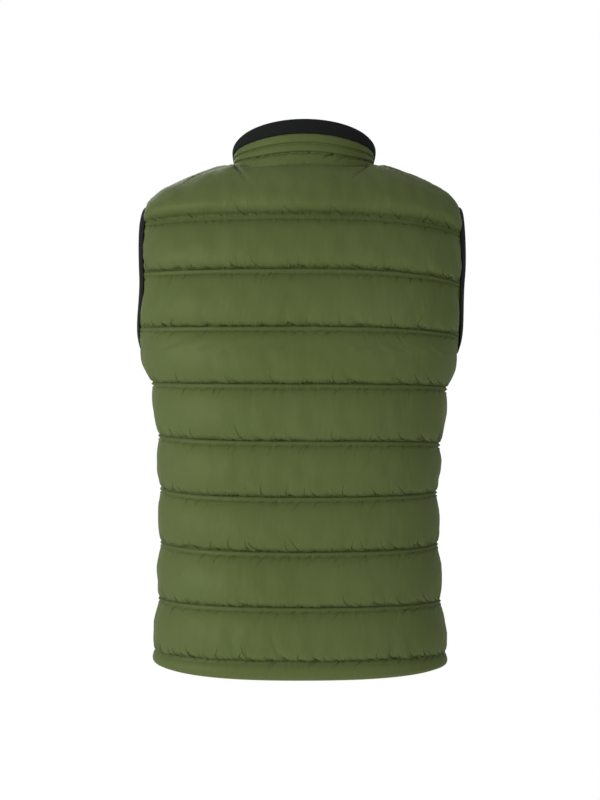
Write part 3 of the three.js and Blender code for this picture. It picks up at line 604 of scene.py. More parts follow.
def sink_creases(relief, across, height, rng, spacing, lengths, depths, widths, lean):
    """Draws troughs that start at a stitched row, each with its own length, depth and lean, and
    with one side steeper than the other, as where gathered cloth folds over."""
    x = rng.uniform(0, spacing)
    while x < across.max():
        length = lengths[0] + (lengths[1] - lengths[0]) * rng.uniform() ** 2
        leaning = rng.normal(0, lean)
        width = rng.uniform(*widths) * rng.choice((-1, 1))
        sink_crease(relief, across - x, height, length, rng.uniform(*depths), width, leaning)
        x += spacing * rng.uniform(0.25, 1.8)


def wadding_lumps(across, up, rng):
    """The gentle unevenness of the filling, as a sum of slow waves in every direction."""
    lumps = np.zeros_like(across)
    for _ in range(LUMP_WAVES):
        turn = rng.uniform(0, math.pi)
        wave = 2 * math.pi / rng.uniform(*LUMP_LENGTHS)
        lumps += np.sin(wave * (across * math.cos(turn) + up * math.sin(turn)) + rng.uniform(0, 2 * math.pi))
    return lumps * LUMP_HEIGHT


def wall_object(name, outer, inner, uv, inner_uv, from_seams, channel):
    """A closed cloth wall: a fine outer grid and a plainer inner one, bridged round their edges."""
    bm = bmesh.new()
    plain = np.full(inner.shape[:2] + (2,), float(SEAM_REACH))
    for points, cut, distances, number in ((outer, uv, from_seams, channel), (inner, inner_uv, plain, 0 * plain)):
        part = grid_mesh(name, points, cut, distances, number)
        bm.from_mesh(part)
        bpy.data.meshes.remove(part)
    bmesh.ops.bridge_loops(bm, edges=[edge for edge in bm.edges if edge.is_boundary])
    bmesh.ops.recalc_face_normals(bm, faces=bm.faces)
    for face in bm.faces:
        face.smooth = True
    mesh = bpy.data.meshes.new(name)
    bm.to_mesh(mesh)
    bm.free()
    piece = bpy.data.objects.new(name, mesh)
    bpy.context.collection.objects.link(piece)
    return piece


STEEP_SHARE = 0.35
SEAM_REACH = 60
RIDGE_PUCKER = 0.25
LUMP_WAVES = 12
LUMP_LENGTHS = (22, 60)
LUMP_HEIGHT = 0.17
HELD_WITHIN = 1.5  # how soon beside a stitched row the cloth is free to crease
LEAST_WALL = 0.8
YOKE_CREASED = 0.4  # the yoke lies smoother over its seam than the channels do
YOKE_SMOOTH = 8
CHANNEL_APART = 1700


def quilted_panel(name, cloth, seed, pinches=()):
    """Sews, fills and creases one panel. Returns its object and its outer surface."""
    rng = np.random.default_rng(seed)
    surface = leaned(cloth["point"] + cloth["normal"] * cloth["puff"] - cloth["drop"] * (0, 0, 1))
    flat = flat_cut(surface, cloth["blocks"])
    held = np.ones(surface.shape[:2], bool)
    for first, last in cloth["blocks"]:
        held[first + 1 : last, 1:-1] = False
    start = surface + cloth["normal"] * (~held[..., None]) * rng.normal(0, UNEVENNESS, held.shape)[..., None]
    puffed = filled(name, start, flat, held, FILLING_PRESSURE, MOST_SWELL)
    outer = fine_across(puffed)
    uv = fine_across(flat[..., :2])
    normal = grid_normals(outer)
    relief = np.zeros(outer.shape[:2])
    across = run_along(outer)
    from_seams = np.full(outer.shape[:2] + (2,), SEAM_REACH / 2)
    channel = np.zeros(outer.shape[:2] + (2,))
    channel[..., 0] = across
    for number, (first, last) in enumerate(cloth["blocks"]):
        rows = slice(first, last + 1)
        channel[rows, :, 0] += CHANNEL_APART * (number + seed)
        up = run_along(np.swapaxes(outer[rows], 0, 1)).T
        down = up[-1] - up
        from_seams[rows] = np.minimum(np.stack([up, down], axis=-1), SEAM_REACH)
        room = relief[rows]
        if number == 0:
            from_seams[rows, :, 0] = SEAM_REACH
            sink_creases(room, across[rows], down, rng, 12, (5, 18), (0.5, 1.4), (2, 5), 0.3)
            room *= fade(down, HELD_WITHIN)
            continue
        sink_creases(room, across[rows], up, rng, 42, (20, 46), (1.2, 3.2), (8, 15), 0.4)
        sink_creases(room, across[rows], up, rng, 15, (14, 30), (1.6, 4.0), (2.4, 5.0), 0.4)
        sink_creases(room, across[rows], up, rng, 8, (10, 19), (0.9, 2.4), (1.7, 3.2), 0.35)
        sink_creases(room, across[rows], down, rng, 19, (7, 24), (0.8, 2.2), (2.6, 5.5), 0.4)
        if number == len(cloth["blocks"]) - 1:
            room *= YOKE_CREASED
            from_seams[rows, :, 0] += YOKE_SMOOTH
        room += wadding_lumps(across[rows], up, rng) * np.sin(math.pi * np.clip(up / up[-1], 0, 1))
        room *= fade(up, HELD_WITHIN) * fade(down, HELD_WITHIN)
        relief[first - 1] += rng.normal(0, RIDGE_PUCKER, relief.shape[1])
    height = outer[..., 2]
    to_edge = fine_across(cloth["to_edge"])[..., 0]
    edging = np.zeros(outer.shape[:2])
    sink_creases(edging, height - height.min(), to_edge, rng, 7, (6, 22), (1.2, 3.2), (1.8, 3.6), 0.3)
    relief += edging * np.where(height > UNDERARM, 1, 0.5)
    down = run_along(np.swapaxes(outer[::-1], 0, 1)).T[::-1]
    for column, along, length, depth, width, lean in pinches:
        sink_crease(relief, across - across[-1, column] - along, down, length, depth, width, lean)
    relief[[0, -1]] = 0
    relief[:, [0, -1]] = 0
    outer = outer + normal * relief[..., None]
    out = unit(fine_across(cloth["normal"]))
    stands = ((outer - fine_across(leaned(cloth["point"]))) * out).sum(-1, keepdims=True)
    outer = outer + out * np.maximum(0, LEAST_WALL - WALL - stands)
    ends = np.unique(np.append(np.arange(0, surface.shape[0], 2), surface.shape[0] - 1))
    sides = np.unique(np.append(np.arange(0, surface.shape[1], 2), surface.shape[1] - 1))
    inside = leaned(cloth["point"] - cloth["normal"] * WALL)[ends][:, sides]
    piece = wall_object(name, outer, inside, uv, flat[ends][:, sides, :2], from_seams, channel)
    return piece, outer


# Shell cloth: plain-woven nylon taffeta, dyed olive and calendered on its face. It gives a smooth
# soft lustre that brightens where it turns away, with a fine crinkle from the wadding under it.
def linear(colour):
    """An sRGB hex colour as linear RGBA."""
    parts = [int(colour[k : k + 2], 16) / 255 for k in (1, 3, 5)]
    return [p / 12.92 if p <= 0.04045 else ((p + 0.055) / 1.055) ** 2.4 for p in parts] + [1.0]


def add_node(tree, kind, inputs=None, **settings):
    """Adds a node; inputs are plain values, sockets, or nodes that stand for their first socket."""
    node = tree.nodes.new(kind)
    for name, value in settings.items():
        setattr(node, name, value)
    for name, value in (inputs or {}).items():
        if isinstance(value, bpy.types.Node):
            value = value.outputs[0]
        if isinstance(value, bpy.types.NodeSocket):
            tree.links.new(value, node.inputs[name])
        else:
            node.inputs[name].default_value = value
    return node


def new_material(name):
    """An empty material with its output and shader joined. Returns it, its tree and its shader."""
    material = bpy.data.materials.new(name)
    material.use_nodes = True
    tree = material.node_tree
    tree.nodes.clear()
    shader = add_node(tree, "ShaderNodeBsdfPrincipled")
    add_node(tree, "ShaderNodeOutputMaterial", {"Surface": shader.outputs["BSDF"]})
    return material, tree, shader


OLIVE = "#5e6a40"
OLIVE_DEEP = "#556135"
CRINKLE_PER_METRE = 70
CLOUD_PER_METRE = 9
THREADS_PER_METRE = 1400  # real taffeta has about 5000; drawn coarser so that it shows close up
taffeta, tree, shader = new_material("woven_nylon_taffeta")
cut_map = add_node(tree, "ShaderNodeUVMap", uv_map="cut").outputs["UV"]
cloud = add_node(tree, "ShaderNodeTexNoise", {"Vector": cut_map, "Scale": CLOUD_PER_METRE, "Detail": 3})
colour = add_node(tree, "ShaderNodeMix", {"Factor": cloud.outputs["Fac"]}, data_type="RGBA")
colour.inputs[6].default_value = linear(OLIVE)
colour.inputs[7].default_value = linear(OLIVE_DEEP)
tree.links.new(colour.outputs[2], shader.inputs["Base Color"])
crinkle_at = add_node(tree, "ShaderNodeMapping", {"Vector": cut_map, "Scale": (1, 0.45, 1)})
crinkle = add_node(
    tree,
    "ShaderNodeTexNoise",
    {"Vector": crinkle_at.outputs["Vector"], "Scale": CRINKLE_PER_METRE, "Detail": 4, "Roughness": 0.55},
)
weft = add_node(tree, "ShaderNodeTexWave", {"Vector": cut_map, "Scale": THREADS_PER_METRE / 20}, bands_direction="X")
warp = add_node(tree, "ShaderNodeTexWave", {"Vector": cut_map, "Scale": THREADS_PER_METRE / 20}, bands_direction="Y")
weave = add_node(tree, "ShaderNodeMath", {0: weft.outputs["Fac"], 1: warp.outputs["Fac"]}, operation="MULTIPLY")
soft = add_node(
    tree,
    "ShaderNodeBump",
    {"Height": crinkle.outputs["Fac"], "Strength": 0.3, "Distance": 0.0012},
)
# Creases run from the stitching: which seam, how far apart, shortest and longest, width, depth, lean.
CREASES = (
    ("X", 0.026, 0.015, 0.036, 0.0034, 0.0040, 1.3),
    ("X", 0.008, 0.011, 0.020, 0.0022, 0.0027, 1.1),
    ("Y", 0.017, 0.004, 0.020, 0.0026, 0.0014, 1.0),
)
CREASE_STEEP = -2.6  # how much steeper a crease's other side is
seams = add_node(tree, "ShaderNodeUVMap", uv_map="from_seams").outputs["UV"]
seam_parts = add_node(tree, "ShaderNodeSeparateXYZ", {"Vector": seams})
channel_map = add_node(tree, "ShaderNodeUVMap", uv_map="channel").outputs["UV"]
along = add_node(tree, "ShaderNodeSeparateXYZ", {"Vector": channel_map}).outputs["X"]
normal = soft
for number, (from_seam, spacing, shortest, longest, width, depth, lean) in enumerate(CREASES):
    height = seam_parts.outputs[from_seam]
    place = add_node(tree, "ShaderNodeMath", {0: along, 1: 0.37 * number}, operation="ADD")
    cell = add_node(tree, "ShaderNodeTexVoronoi", {"W": place, "Scale": 1 / spacing}, voronoi_dimensions="1D")
    chance = add_node(tree, "ShaderNodeSeparateColor", {"Color": cell.outputs["Color"]}).outputs
    leaning = add_node(tree, "ShaderNodeMath", {0: chance["Red"], 1: lean, 2: -lean / 2}, operation="MULTIPLY_ADD")
    over = add_node(tree, "ShaderNodeMath", {0: height, 1: LIP_ROUND * MM}, operation="SUBTRACT")
    over = add_node(tree, "ShaderNodeMath", {0: over, 1: 0}, operation="MAXIMUM")
    foot = add_node(tree, "ShaderNodeMath", {0: over, 1: leaning, 2: cell.outputs["W"]}, operation="MULTIPLY_ADD")
    off = add_node(tree, "ShaderNodeMath", {0: place, 1: foot}, operation="SUBTRACT")
    chosen = add_node(tree, "ShaderNodeMath", {0: chance["Green"], 1: 2}, operation="POWER")
    length = add_node(tree, "ShaderNodeMath", {0: chosen, 1: longest - shortest, 2: shortest}, operation="MULTIPLY_ADD")
    way_up = add_node(tree, "ShaderNodeMath", {0: height, 1: length}, operation="DIVIDE")
    reach = add_node(tree, "ShaderNodeMapRange", {"Value": way_up, "To Min": 1, "To Max": 0})
    wide = add_node(tree, "ShaderNodeMath", {0: reach, 1: 0.65 * width, 2: 0.35 * width}, operation="MULTIPLY_ADD")
    share = add_node(tree, "ShaderNodeMath", {0: off, 1: wide}, operation="DIVIDE")
    steep = add_node(tree, "ShaderNodeMath", {0: share, 1: CREASE_STEEP}, operation="MULTIPLY")
    share = add_node(tree, "ShaderNodeMath", {0: share, 1: steep}, operation="MAXIMUM")
    side = add_node(tree, "ShaderNodeMapRange", {"Value": share, "To Min": 1, "To Max": 0})
    side = add_node(tree, "ShaderNodeMath", {0: side, 1: 1.8}, operation="POWER")
    deep = add_node(tree, "ShaderNodeMath", {0: side, 1: reach}, operation="MULTIPLY")
    crease = add_node(tree, "ShaderNodeBump", {"Height": deep, "Distance": depth, "Normal": normal}, invert=True)
    normal = crease
fine = add_node(
    tree,
    "ShaderNodeBump",
    {"Height": weave.outputs["Value"], "Strength": 0.25, "Distance": 0.0001, "Normal": normal},
)
tree.links.new(fine.outputs["Normal"], shader.inputs["Normal"])
shader.inputs["Roughness"].default_value = 0.52
shader.inputs["Specular IOR Level"].default_value = 0.25
shader.inputs["Specular Tint"].default_value = linear("#cdd79c")
shader.inputs["Sheen Weight"].default_value = 0.1
shader.inputs["Sheen Roughness"].default_value = 0.35
shader.inputs["Sheen Tint"].default_value = linear("#b9c67c")


def finish_piece(piece, body, slot, material, *nodes):
    piece.data.materials.append(material)
    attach(piece, body)
    if nodes:
        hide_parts(*nodes)


# Back: one panel from side seam to side seam, quilted in eight channels under a yoke channel,
# with its hem turned in and stitched down. The fronts are sewn to it at the sides and shoulders.
back_cloth = side_by_side(backwards(half_panel(LEFT, 1)), mirrored(half_panel(RIGHT, 1)))
# Folds that fan out from the ends of the neck seam: column, place beside it, length, depth, width
# (its sign says which side is steep) and lean.
LEFT_NECK_END = round(4 * HALF_COLUMNS * (1 - NECK_SHARE))
RIGHT_NECK_END = round(4 * HALF_COLUMNS * (1 + NECK_SHARE))
NECK_PINCHES = (
    (LEFT_NECK_END, 0, 75, 7, 8, 0.85),
    (LEFT_NECK_END, -5, 32, 15, 10, 0.15),
    (LEFT_NECK_END, -12, 60, 6, -9, -1.3),
    (RIGHT_NECK_END, 0, 32, 15, -11, -0.2),
    (RIGHT_NECK_END, 6, 60, 6, -8, -0.9),
    (RIGHT_NECK_END, 13, 60, 6, 9, 1.3),
)
back, back_outer = quilted_panel("back", back_cloth, 11, NECK_PINCHES)
finish_piece(back, "vest", "quilted_shell", taffeta, "back_panel")

# Fronts: two panels that meet at the zip, quilted on the same lines as the back.
left_cloth = half_panel(LEFT, -1)
right_cloth = backwards(mirrored(half_panel(RIGHT, -1)))
front_left, left_outer = quilted_panel("front_left_panel", left_cloth, 12)
front_right, right_outer = quilted_panel("front_right_panel", right_cloth, 13)
finish_piece(front_left, "vest", "quilted_shell", taffeta, "front_left")
finish_piece(front_right, "vest", "quilted_shell", taffeta, "front_right")

# Collar: a stand collar of the same quilted cloth in three stitched tiers, sewn to the neckline.
COLLAR_HALF_WIDTH = 98
COLLAR_TOP_BACK = 72
COLLAR_TOP_FRONT = 90
COLLAR_SIDE = 27.5
COLLAR_BACK_SLOPE = 0.44
COLLAR_FRONT_SLOPE = 0.58
BAND_FROM = 0.72
COLLAR_TIERS = ((0, 0.31, 5.5), (0.31, 0.5, 3), (0.5, BAND_FROM - 0.005, 2.6))
TIER_SEAM_OUT = -0.8
COLLAR_GAP = 0.4
COLLAR_INSIDE = 4
COLLAR_FULL_HEIGHT = 70
COLLAR_END_REACH = 4
COLLAR_END_FULLNESS = 0.4
COLLAR_STEP = 3.0
TIER_ROWS = (10, 7, 8)
COLLAR_PRESSURE = 3.0
COLLAR_SWELL = 2.5
COLLAR_EASE = 1.05


def collar_frame(turn, share):
    """A place on the collar, the way that it faces, and the collar's height there. turn goes
    round the neckline from 0 behind, and share is 0 at the neck seam and 1 at the top."""
    sideways = np.sin(np.radians(turn))
    away = np.cos(np.radians(turn))
    is_back = away > 0
    top_y = np.where(is_back, COLLAR_TOP_BACK, COLLAR_TOP_FRONT) * away
    slope = np.where(is_back, COLLAR_BACK_SLOPE, COLLAR_FRONT_SLOPE)
    top = np.stack([COLLAR_HALF_WIDTH * sideways, top_y, COLLAR_SIDE + slope * top_y], axis=-1)
    base = arch_point(*neck_angles(np.abs(turn)))
    base[..., 0] *= np.where(turn < 0, -1, 1)
    base[..., 2] += COLLAR_GAP
    up = unit(top - base)
    outward = unit(np.stack([sideways / NECK_HALF_WIDTH, away / NECK_BACK, 0 * away], axis=-1))
    normal = unit(outward - up * (outward * up).sum(-1, keepdims=True))
    height = np.linalg.norm(top - base, axis=-1)
    return base + (top - base) * np.asarray(share)[..., None], normal, height


def neck_turns(reach, step):
    """Turns round the neckline from the wearer's left to right, a step apart along it."""
    fine = np.linspace(reach, -reach, 2001)
    base, _, _ = collar_frame(fine, 0 * fine)
    runs = run_along(base)
    return np.interp(np.linspace(0, runs[-1], int(runs[-1] / step) + 1), runs, fine)


def collar_grid(turns, shares, outs):
    """A grid of places on the collar, each row standing off by its own amount."""
    rows = []
    for share, out in zip(shares, outs):
        point, normal, height = collar_frame(turns, share + 0 * turns)
        from_zip = TURN_AT_ZIP - np.abs(turns)
        end = COLLAR_END_FULLNESS + (1 - COLLAR_END_FULLNESS) * np.clip(from_zip / COLLAR_END_REACH, 0, 1)
        fullness = end * np.minimum(1, height / COLLAR_FULL_HEIGHT)
        rows.append(point + normal * (out * fullness if out > 0 else out + 0 * fullness)[..., None])
    return leaned(np.array(rows))


collar_shares = [0.0]
collar_outs = [0.0]
collar_blocks = []
for (low, high, puff), count in zip(COLLAR_TIERS, TIER_ROWS):
    collar_blocks.append((len(collar_shares) - 1, len(collar_shares) - 1 + count))
    for k in range(1, count + 1):
        v = k / count
        collar_shares.append(low + (high - low) * v)
        collar_outs.append(TIER_SEAM_OUT if k == count else puff * float(channel_shape(v)))
collar_turns = neck_turns(TURN_AT_ZIP, COLLAR_STEP)
collar_surface = collar_grid(collar_turns, collar_shares, collar_outs)
collar_flat = np.zeros_like(collar_surface)
collar_flat[..., 0] = run_along(collar_surface) * COLLAR_EASE
collar_flat[..., 1] = run_along(np.swapaxes(collar_surface, 0, 1)).T
collar_held = np.ones(collar_surface.shape[:2], bool)
for first, last in collar_blocks:
    collar_held[first + 1 : last, 1:-1] = False
collar_puffed = filled("collar_cloth", collar_surface, collar_flat, collar_held, COLLAR_PRESSURE, COLLAR_SWELL)
collar_outer = finer(finer(collar_puffed, UPWARD), ACROSS)
collar_relief = np.zeros(collar_outer.shape[:2])
collar_seams = np.full(collar_outer.shape[:2] + (2,), float(SEAM_REACH))
collar_channel = np.zeros(collar_outer.shape[:2] + (2,))
collar_rng = np.random.default_rng(21)
collar_across = run_along(collar_outer)
collar_channel[..., 0] = collar_across
for number, (first, last) in enumerate(collar_blocks):
    rows = slice(2 * first, 2 * last + 1)
    up = run_along(np.swapaxes(collar_outer[rows], 0, 1)).T
    if number == 0:
        collar_seams[rows] = np.stack([up + SEAM_REACH, up[-1] - up], axis=-1)
    depths = (1.2, 3.4) if number == 0 else (0.2, 0.9)
    for height in (up, up[-1] - up):
        sink_creases(
            collar_relief[rows], collar_across[rows], height, collar_rng, 12, (5, 18), depths, (2, 4.5), 0.5
        )
collar_relief[[0, -1]] = 0
collar_relief[:, [0, -1]] = 0
collar_outer = collar_outer + grid_normals(collar_outer) * collar_relief[..., None]
inner_turns = collar_turns[::2] if len(collar_turns) % 2 else np.append(collar_turns[::2], collar_turns[-1])
inner_shares = np.linspace(0, COLLAR_TIERS[-1][1], 9)
collar_inside = collar_grid(inner_turns, inner_shares, np.full(9, -float(COLLAR_INSIDE)))
inside_cut = np.stack([run_along(collar_inside), run_along(np.swapaxes(collar_inside, 0, 1)).T], axis=-1)
collar = wall_object(
    "collar_stand",
    collar_outer,
    collar_inside,
    finer(finer(collar_flat[..., :2], UPWARD), ACROSS),
    inside_cut,
    collar_seams,
    collar_channel,
)
finish_piece(collar, "vest", "quilted_shell", taffeta, "collar")

# Elastic edging: black knitted elastic, folded over the collar's top edge and round each armhole
# and stitched through. It is matt, with fine ribs along it, and puckers a little where it pulls.
BAND_OVERLAP = 1.2
BAND_HEIGHT = 17
BAND_FOLD = ((0, 1.3), (8, 1.6), (14, 1.4), (16.7, 0.4), (17.3, -1.3), (16.7, -3), (14, -3.7), (8, -3.8), (0, -3.8))
BINDING_FOLD = ((-2.5, 1.3), (5, 1.3), (8.4, 0.9), (9.4, -1.3), (8.4, -3.5), (5, -3.9), (-2.5, -3.9))
BINDING_STEP = 3.0
ELASTIC_THICKNESS = 0.8
FOLD_STEPS = 22
RIB_PITCH = 1.3


def rounded(section, steps):
    """A closed smooth section through corner points, with its points evenly apart."""
    loop = np.array(section, float)
    for _ in range(3):
        ahead = np.roll(loop, -1, axis=0)
        loop = np.stack([loop * 0.75 + ahead * 0.25, loop * 0.25 + ahead * 0.75], axis=1).reshape(-1, 2)
    closed = np.concatenate([loop, loop[:1]])
    runs = run_along(closed)
    wanted = np.linspace(0, runs[-1], steps + 1)
    return np.stack([np.interp(wanted, runs, closed[:, k]) for k in (0, 1)], axis=-1)


def folded_strip(fold, thickness):
    """The closed section of a strip folded along a smooth line."""
    line = np.array(fold, float)
    for _ in range(3):
        cut = np.stack([line[:-1] * 0.75 + line[1:] * 0.25, line[:-1] * 0.25 + line[1:] * 0.75], axis=1)
        line = np.concatenate([line[:1], cut.reshape(-1, 2), line[-1:]])
    runs = run_along(line)
    wanted = np.linspace(0, runs[-1], FOLD_STEPS)
    line = np.stack([np.interp(wanted, runs, line[:, k]) for k in (0, 1)], axis=-1)
    way = unit(np.gradient(line, axis=0))
    off = np.stack([-way[:, 1], way[:, 0]], axis=-1) * thickness / 2
    loop = np.concatenate([line + off, (line - off)[::-1]])
    return np.concatenate([loop, loop[:1]])


def strip_size(rings):
    """Mean width and length, in metres, of the flat strip that was folded into these rings."""
    width = run_along(rings)[:, -1].mean() / 2 - ELASTIC_THICKNESS
    return float(width) * MM, float(run_along(rings.mean(axis=1))[-1]) * MM


def tube_object(name, rings, is_loop):
    """A closed skin over rings of points whose first and last points meet. A loop's rings meet
    too, and the ends of a run are capped."""
    lengths = run_along(np.swapaxes(rings, 0, 1)).T
    uv = np.stack([lengths, run_along(rings)], axis=-1)
    bm = bmesh.new()
    part = grid_mesh(name, rings, uv)
    bm.from_mesh(part)
    bpy.data.meshes.remove(part)
    bmesh.ops.remove_doubles(bm, verts=bm.verts, dist=1e-6)
    if not is_loop:
        bmesh.ops.holes_fill(bm, edges=[edge for edge in bm.edges if edge.is_boundary])
    bmesh.ops.recalc_face_normals(bm, faces=bm.faces)
    for face in bm.faces:
        face.smooth = True
    mesh = bpy.data.meshes.new(name)
    bm.to_mesh(mesh)
    bm.free()
    piece = bpy.data.objects.new(name, mesh)
    bpy.context.collection.objects.link(piece)
    return piece


elastic, tree, shader = new_material("knitted_elastic")
along_map = add_node(tree, "ShaderNodeUVMap", uv_map="cut").outputs["UV"]
rib = add_node(
    tree,
    "ShaderNodeTexWave",
    {"Vector": along_map, "Scale": 1000 / RIB_PITCH / 20, "Distortion": 0.6, "Detail": 1},
    bands_direction="Y",
)
knit = add_node(tree, "ShaderNodeTexNoise", {"Vector": along_map, "Scale": 900, "Detail": 2})
ribs = add_node(tree, "ShaderNodeBump", {"Height": rib.outputs["Fac"], "Strength": 0.5, "Distance": 0.0005})
loops = add_node(
    tree,
    "ShaderNodeBump",
    {"Height": knit.outputs["Fac"], "Strength": 0.3, "Distance": 0.0003, "Normal": ribs.outputs["Normal"]},
)
tint = add_node(tree, "ShaderNodeMix", {"Factor": knit.outputs["Fac"]}, data_type="RGBA")
tint.inputs[6].default_value = linear("#0b0d0c")
tint.inputs[7].default_value = linear("#141815")
tree.links.new(tint.outputs[2], shader.inputs["Base Color"])
tree.links.new(loops.outputs["Normal"], shader.inputs["Normal"])
shader.inputs["Roughness"].default_value = 0.85
shader.inputs["Specular IOR Level"].default_value = 0.25
shader.inputs["Sheen Weight"].default_value = 0.04
shader.inputs["Sheen Roughness"].default_value = 0.5

band_section = folded_strip(BAND_FOLD, ELASTIC_THICKNESS)
band_turns = neck_turns(TURN_AT_ZIP, COLLAR_STEP)
_, _, band_heights = collar_frame(band_turns, 0 * band_turns)
band_foot = BAND_FROM - BAND_OVERLAP / band_heights
band_rows = []
for up, out in band_section:
    point, normal, _ = collar_frame(band_turns, band_foot + (1 - band_foot) * up / BAND_HEIGHT)
    band_rows.append(point + normal * out)
band_rings = leaned(np.swapaxes(np.array(band_rows), 0, 1))
band = tube_object("collar_edging", band_rings, False)
finish_piece(band, "vest", "elastic_binding", elastic, "collar_band")
strip_size(band_rings)


def armhole_line(hand, step):
    """Places round an armhole, a step apart, and the way that the cloth faces at each."""
    runs = []
    for side in (1, -1):
        reach = ARMHOLE_BACK if side > 0 else ARMHOLE_FRONT
        depth = "back" if side > 0 else "front"
        swing = np.linspace(0, math.pi / 2, 60)
        z = ARCH_BASE - ARMHOLE_BELOW * np.cos(swing)
        y = reach * np.sin(swing)
        ratio = np.sqrt(1 - (y / ring_size(depth, z)) ** SECTION_POWER)
        lower, lower_normal = level_places(ratio, z, side)
        crest = crest_height(SHOULDER_TIP)
        line = [(row[0], row[hand]) for row in STITCH_LINES][-1]
        top = line[0] + TWIN_ROWS / 2 if side > 0 else NECK_AT_ZIP[2]
        rise = line[1] if side > 0 else line[1] + FRONT_TOP_RISE
        levels = np.linspace(ARCH_BASE, top, 16)[1:]
        ends = np.array([edge_ratio(level, side) for level in levels])
        upper, upper_normal = level_places(ends, levels + rise * (levels - ARCH_BASE) / (top - ARCH_BASE), side)
        x0, angle0 = arch_edge(upper[-1:], side)
        w = np.linspace(0, 1, 30)[1:]
        over, over_normal = arch_places(
            x0 + (SHOULDER_TIP - x0) * w, angle0 + (SHOULDER_SEAM - angle0) * w
        )
        points = np.concatenate([lower, upper, over])
        normals = np.concatenate([lower_normal, upper_normal, over_normal])
        runs.append((points, normals))
    (back_line, back_facing), (front_line, front_facing) = runs
    points = np.concatenate([back_line, front_line[::-1][1:]])
    normals = np.concatenate([back_facing, front_facing[::-1][1:]])
    lengths = run_along(points)
    wanted = np.linspace(0, lengths[-1], int(lengths[-1] / step) + 1)
    at = lambda values: np.stack([np.interp(wanted, lengths, values[:, k]) for k in range(3)], -1)
    return at(points), unit(at(normals))


binding_section = folded_strip(BINDING_FOLD, ELASTIC_THICKNESS)
for hand_name, hand, sign in (("left", LEFT, 1), ("right", RIGHT, -1)):
    points, normals = armhole_line(hand, BINDING_STEP)
    middle = points[:-1].mean(axis=0)
    along = np.roll(points[:-1], -1, axis=0) - np.roll(points[:-1], 1, axis=0)
    along = unit(np.concatenate([along, along[:1]]))
    normals[-1] = normals[0]
    up = unit(normals - along * (normals * along).sum(-1, keepdims=True))
    into = np.cross(along, up)
    into *= np.where((into * (middle - points)).sum(-1, keepdims=True) < 0, -1, 1)
    rings = np.array([points + into * across + up * off for across, off in binding_section])
    rings = leaned(np.swapaxes(rings, 0, 1) * (sign, 1, 1))
    rings[-1] = rings[0]
    binding = tube_object(f"armhole_edging_{hand_name}", rings, True)
    finish_piece(binding, "vest", "elastic_binding", elastic, f"armhole_binding_{hand_name}")
    strip_size(rings)

# Thread: spun polyester, dyed to match, in lockstitches just over three millimetres apart. Each
# stitch is a short plump lens of thread that sinks into the cloth at its ends.
STITCH_PITCH = 3.3
STITCH_LENGTH = 2.7
THREAD_WIDTH = 0.9
THREAD_STANDS = 0.25


def joined_copies(name, shape, places, turns):
    """One mesh of many copies of a small shape, each turned and sized by a 3 by 3 matrix."""
    corners = np.array([vert.co for vert in shape.verts])
    faces = [[vert.index for vert in face.verts] for face in shape.faces]
    spots = np.einsum("nij,kj->nki", turns, corners) + places[:, None]
    joined = []
    for k in range(len(places)):
        joined.extend([k * len(corners) + index for index in face] for face in faces)
    mesh = bpy.data.meshes.new(name)
    mesh.from_pydata((spots * MM).reshape(-1, 3).tolist(), [], joined)
    mesh.polygons.foreach_set("use_smooth", [True] * len(mesh.polygons))
    piece = bpy.data.objects.new(name, mesh)
    bpy.context.collection.objects.link(piece)
    return piece


def stitch_places(outer, rows, columns=slice(None)):
    """Where the stitches of some rows of a cloth grid lie, and how each is turned and sized."""
    normals = grid_normals(outer)
    places, turns = [], []
    for row in rows:
        line = outer[row, columns]
        runs = run_along(line)
        wanted = np.arange(STITCH_PITCH / 2, runs[-1], STITCH_PITCH)
        along_line = np.gradient(line, axis=0)

        def at(values):
            return np.stack([np.interp(wanted, runs, values[:, k]) for k in range(3)], -1)

        along = unit(at(along_line))
        up = at(normals[row, columns])
        up = unit(up - along * (up * along).sum(-1, keepdims=True))
        side = np.cross(up, along)
        places.append(at(line) + up * THREAD_STANDS)
        size = (STITCH_LENGTH / 2, THREAD_WIDTH / 2, THREAD_WIDTH / 2)
        turns.append(np.stack([along * size[0], side * size[1], up * size[2]], axis=-1))
    return np.concatenate(places), np.concatenate(turns)


spun, tree, shader = new_material("spun_polyester_thread")
coords = add_node(tree, "ShaderNodeTexCoord").outputs["Object"]
lay = add_node(tree, "ShaderNodeTexNoise", {"Vector": coords, "Scale": 700, "Detail": 2})
tone = add_node(tree, "ShaderNodeMix", {"Factor": lay.outputs["Fac"]}, data_type="RGBA")
tone.inputs[6].default_value = linear("#56613a")
tone.inputs[7].default_value = linear("#737f4c")
twist = add_node(tree, "ShaderNodeBump", {"Height": lay.outputs["Fac"], "Strength": 0.4, "Distance": 0.0002})
tree.links.new(tone.outputs[2], shader.inputs["Base Color"])
tree.links.new(twist.outputs["Normal"], shader.inputs["Normal"])
shader.inputs["Roughness"].default_value = 0.6
stitch = bmesh.new()
bmesh.ops.create_icosphere(stitch, subdivisions=1, radius=1)
for name, cloth, outer in (
    ("back_stitching", back_cloth, back_outer),
    ("front_left_stitching", left_cloth, left_outer),
    ("front_right_stitching", right_cloth, right_outer),
):
    thread = joined_copies(name, stitch, *stitch_places(outer, cloth["stitched"], slice(1, -1)))
    finish_piece(thread, "vest", "quilted_shell", spun)
tier_rows = [2 * block[1] for block in collar_blocks[:-1]]
thread = joined_copies("collar_stitching", stitch, *stitch_places(collar_outer, tier_rows, slice(1, -1)))
finish_piece(thread, "vest", "quilted_shell", spun)
stitch.free()

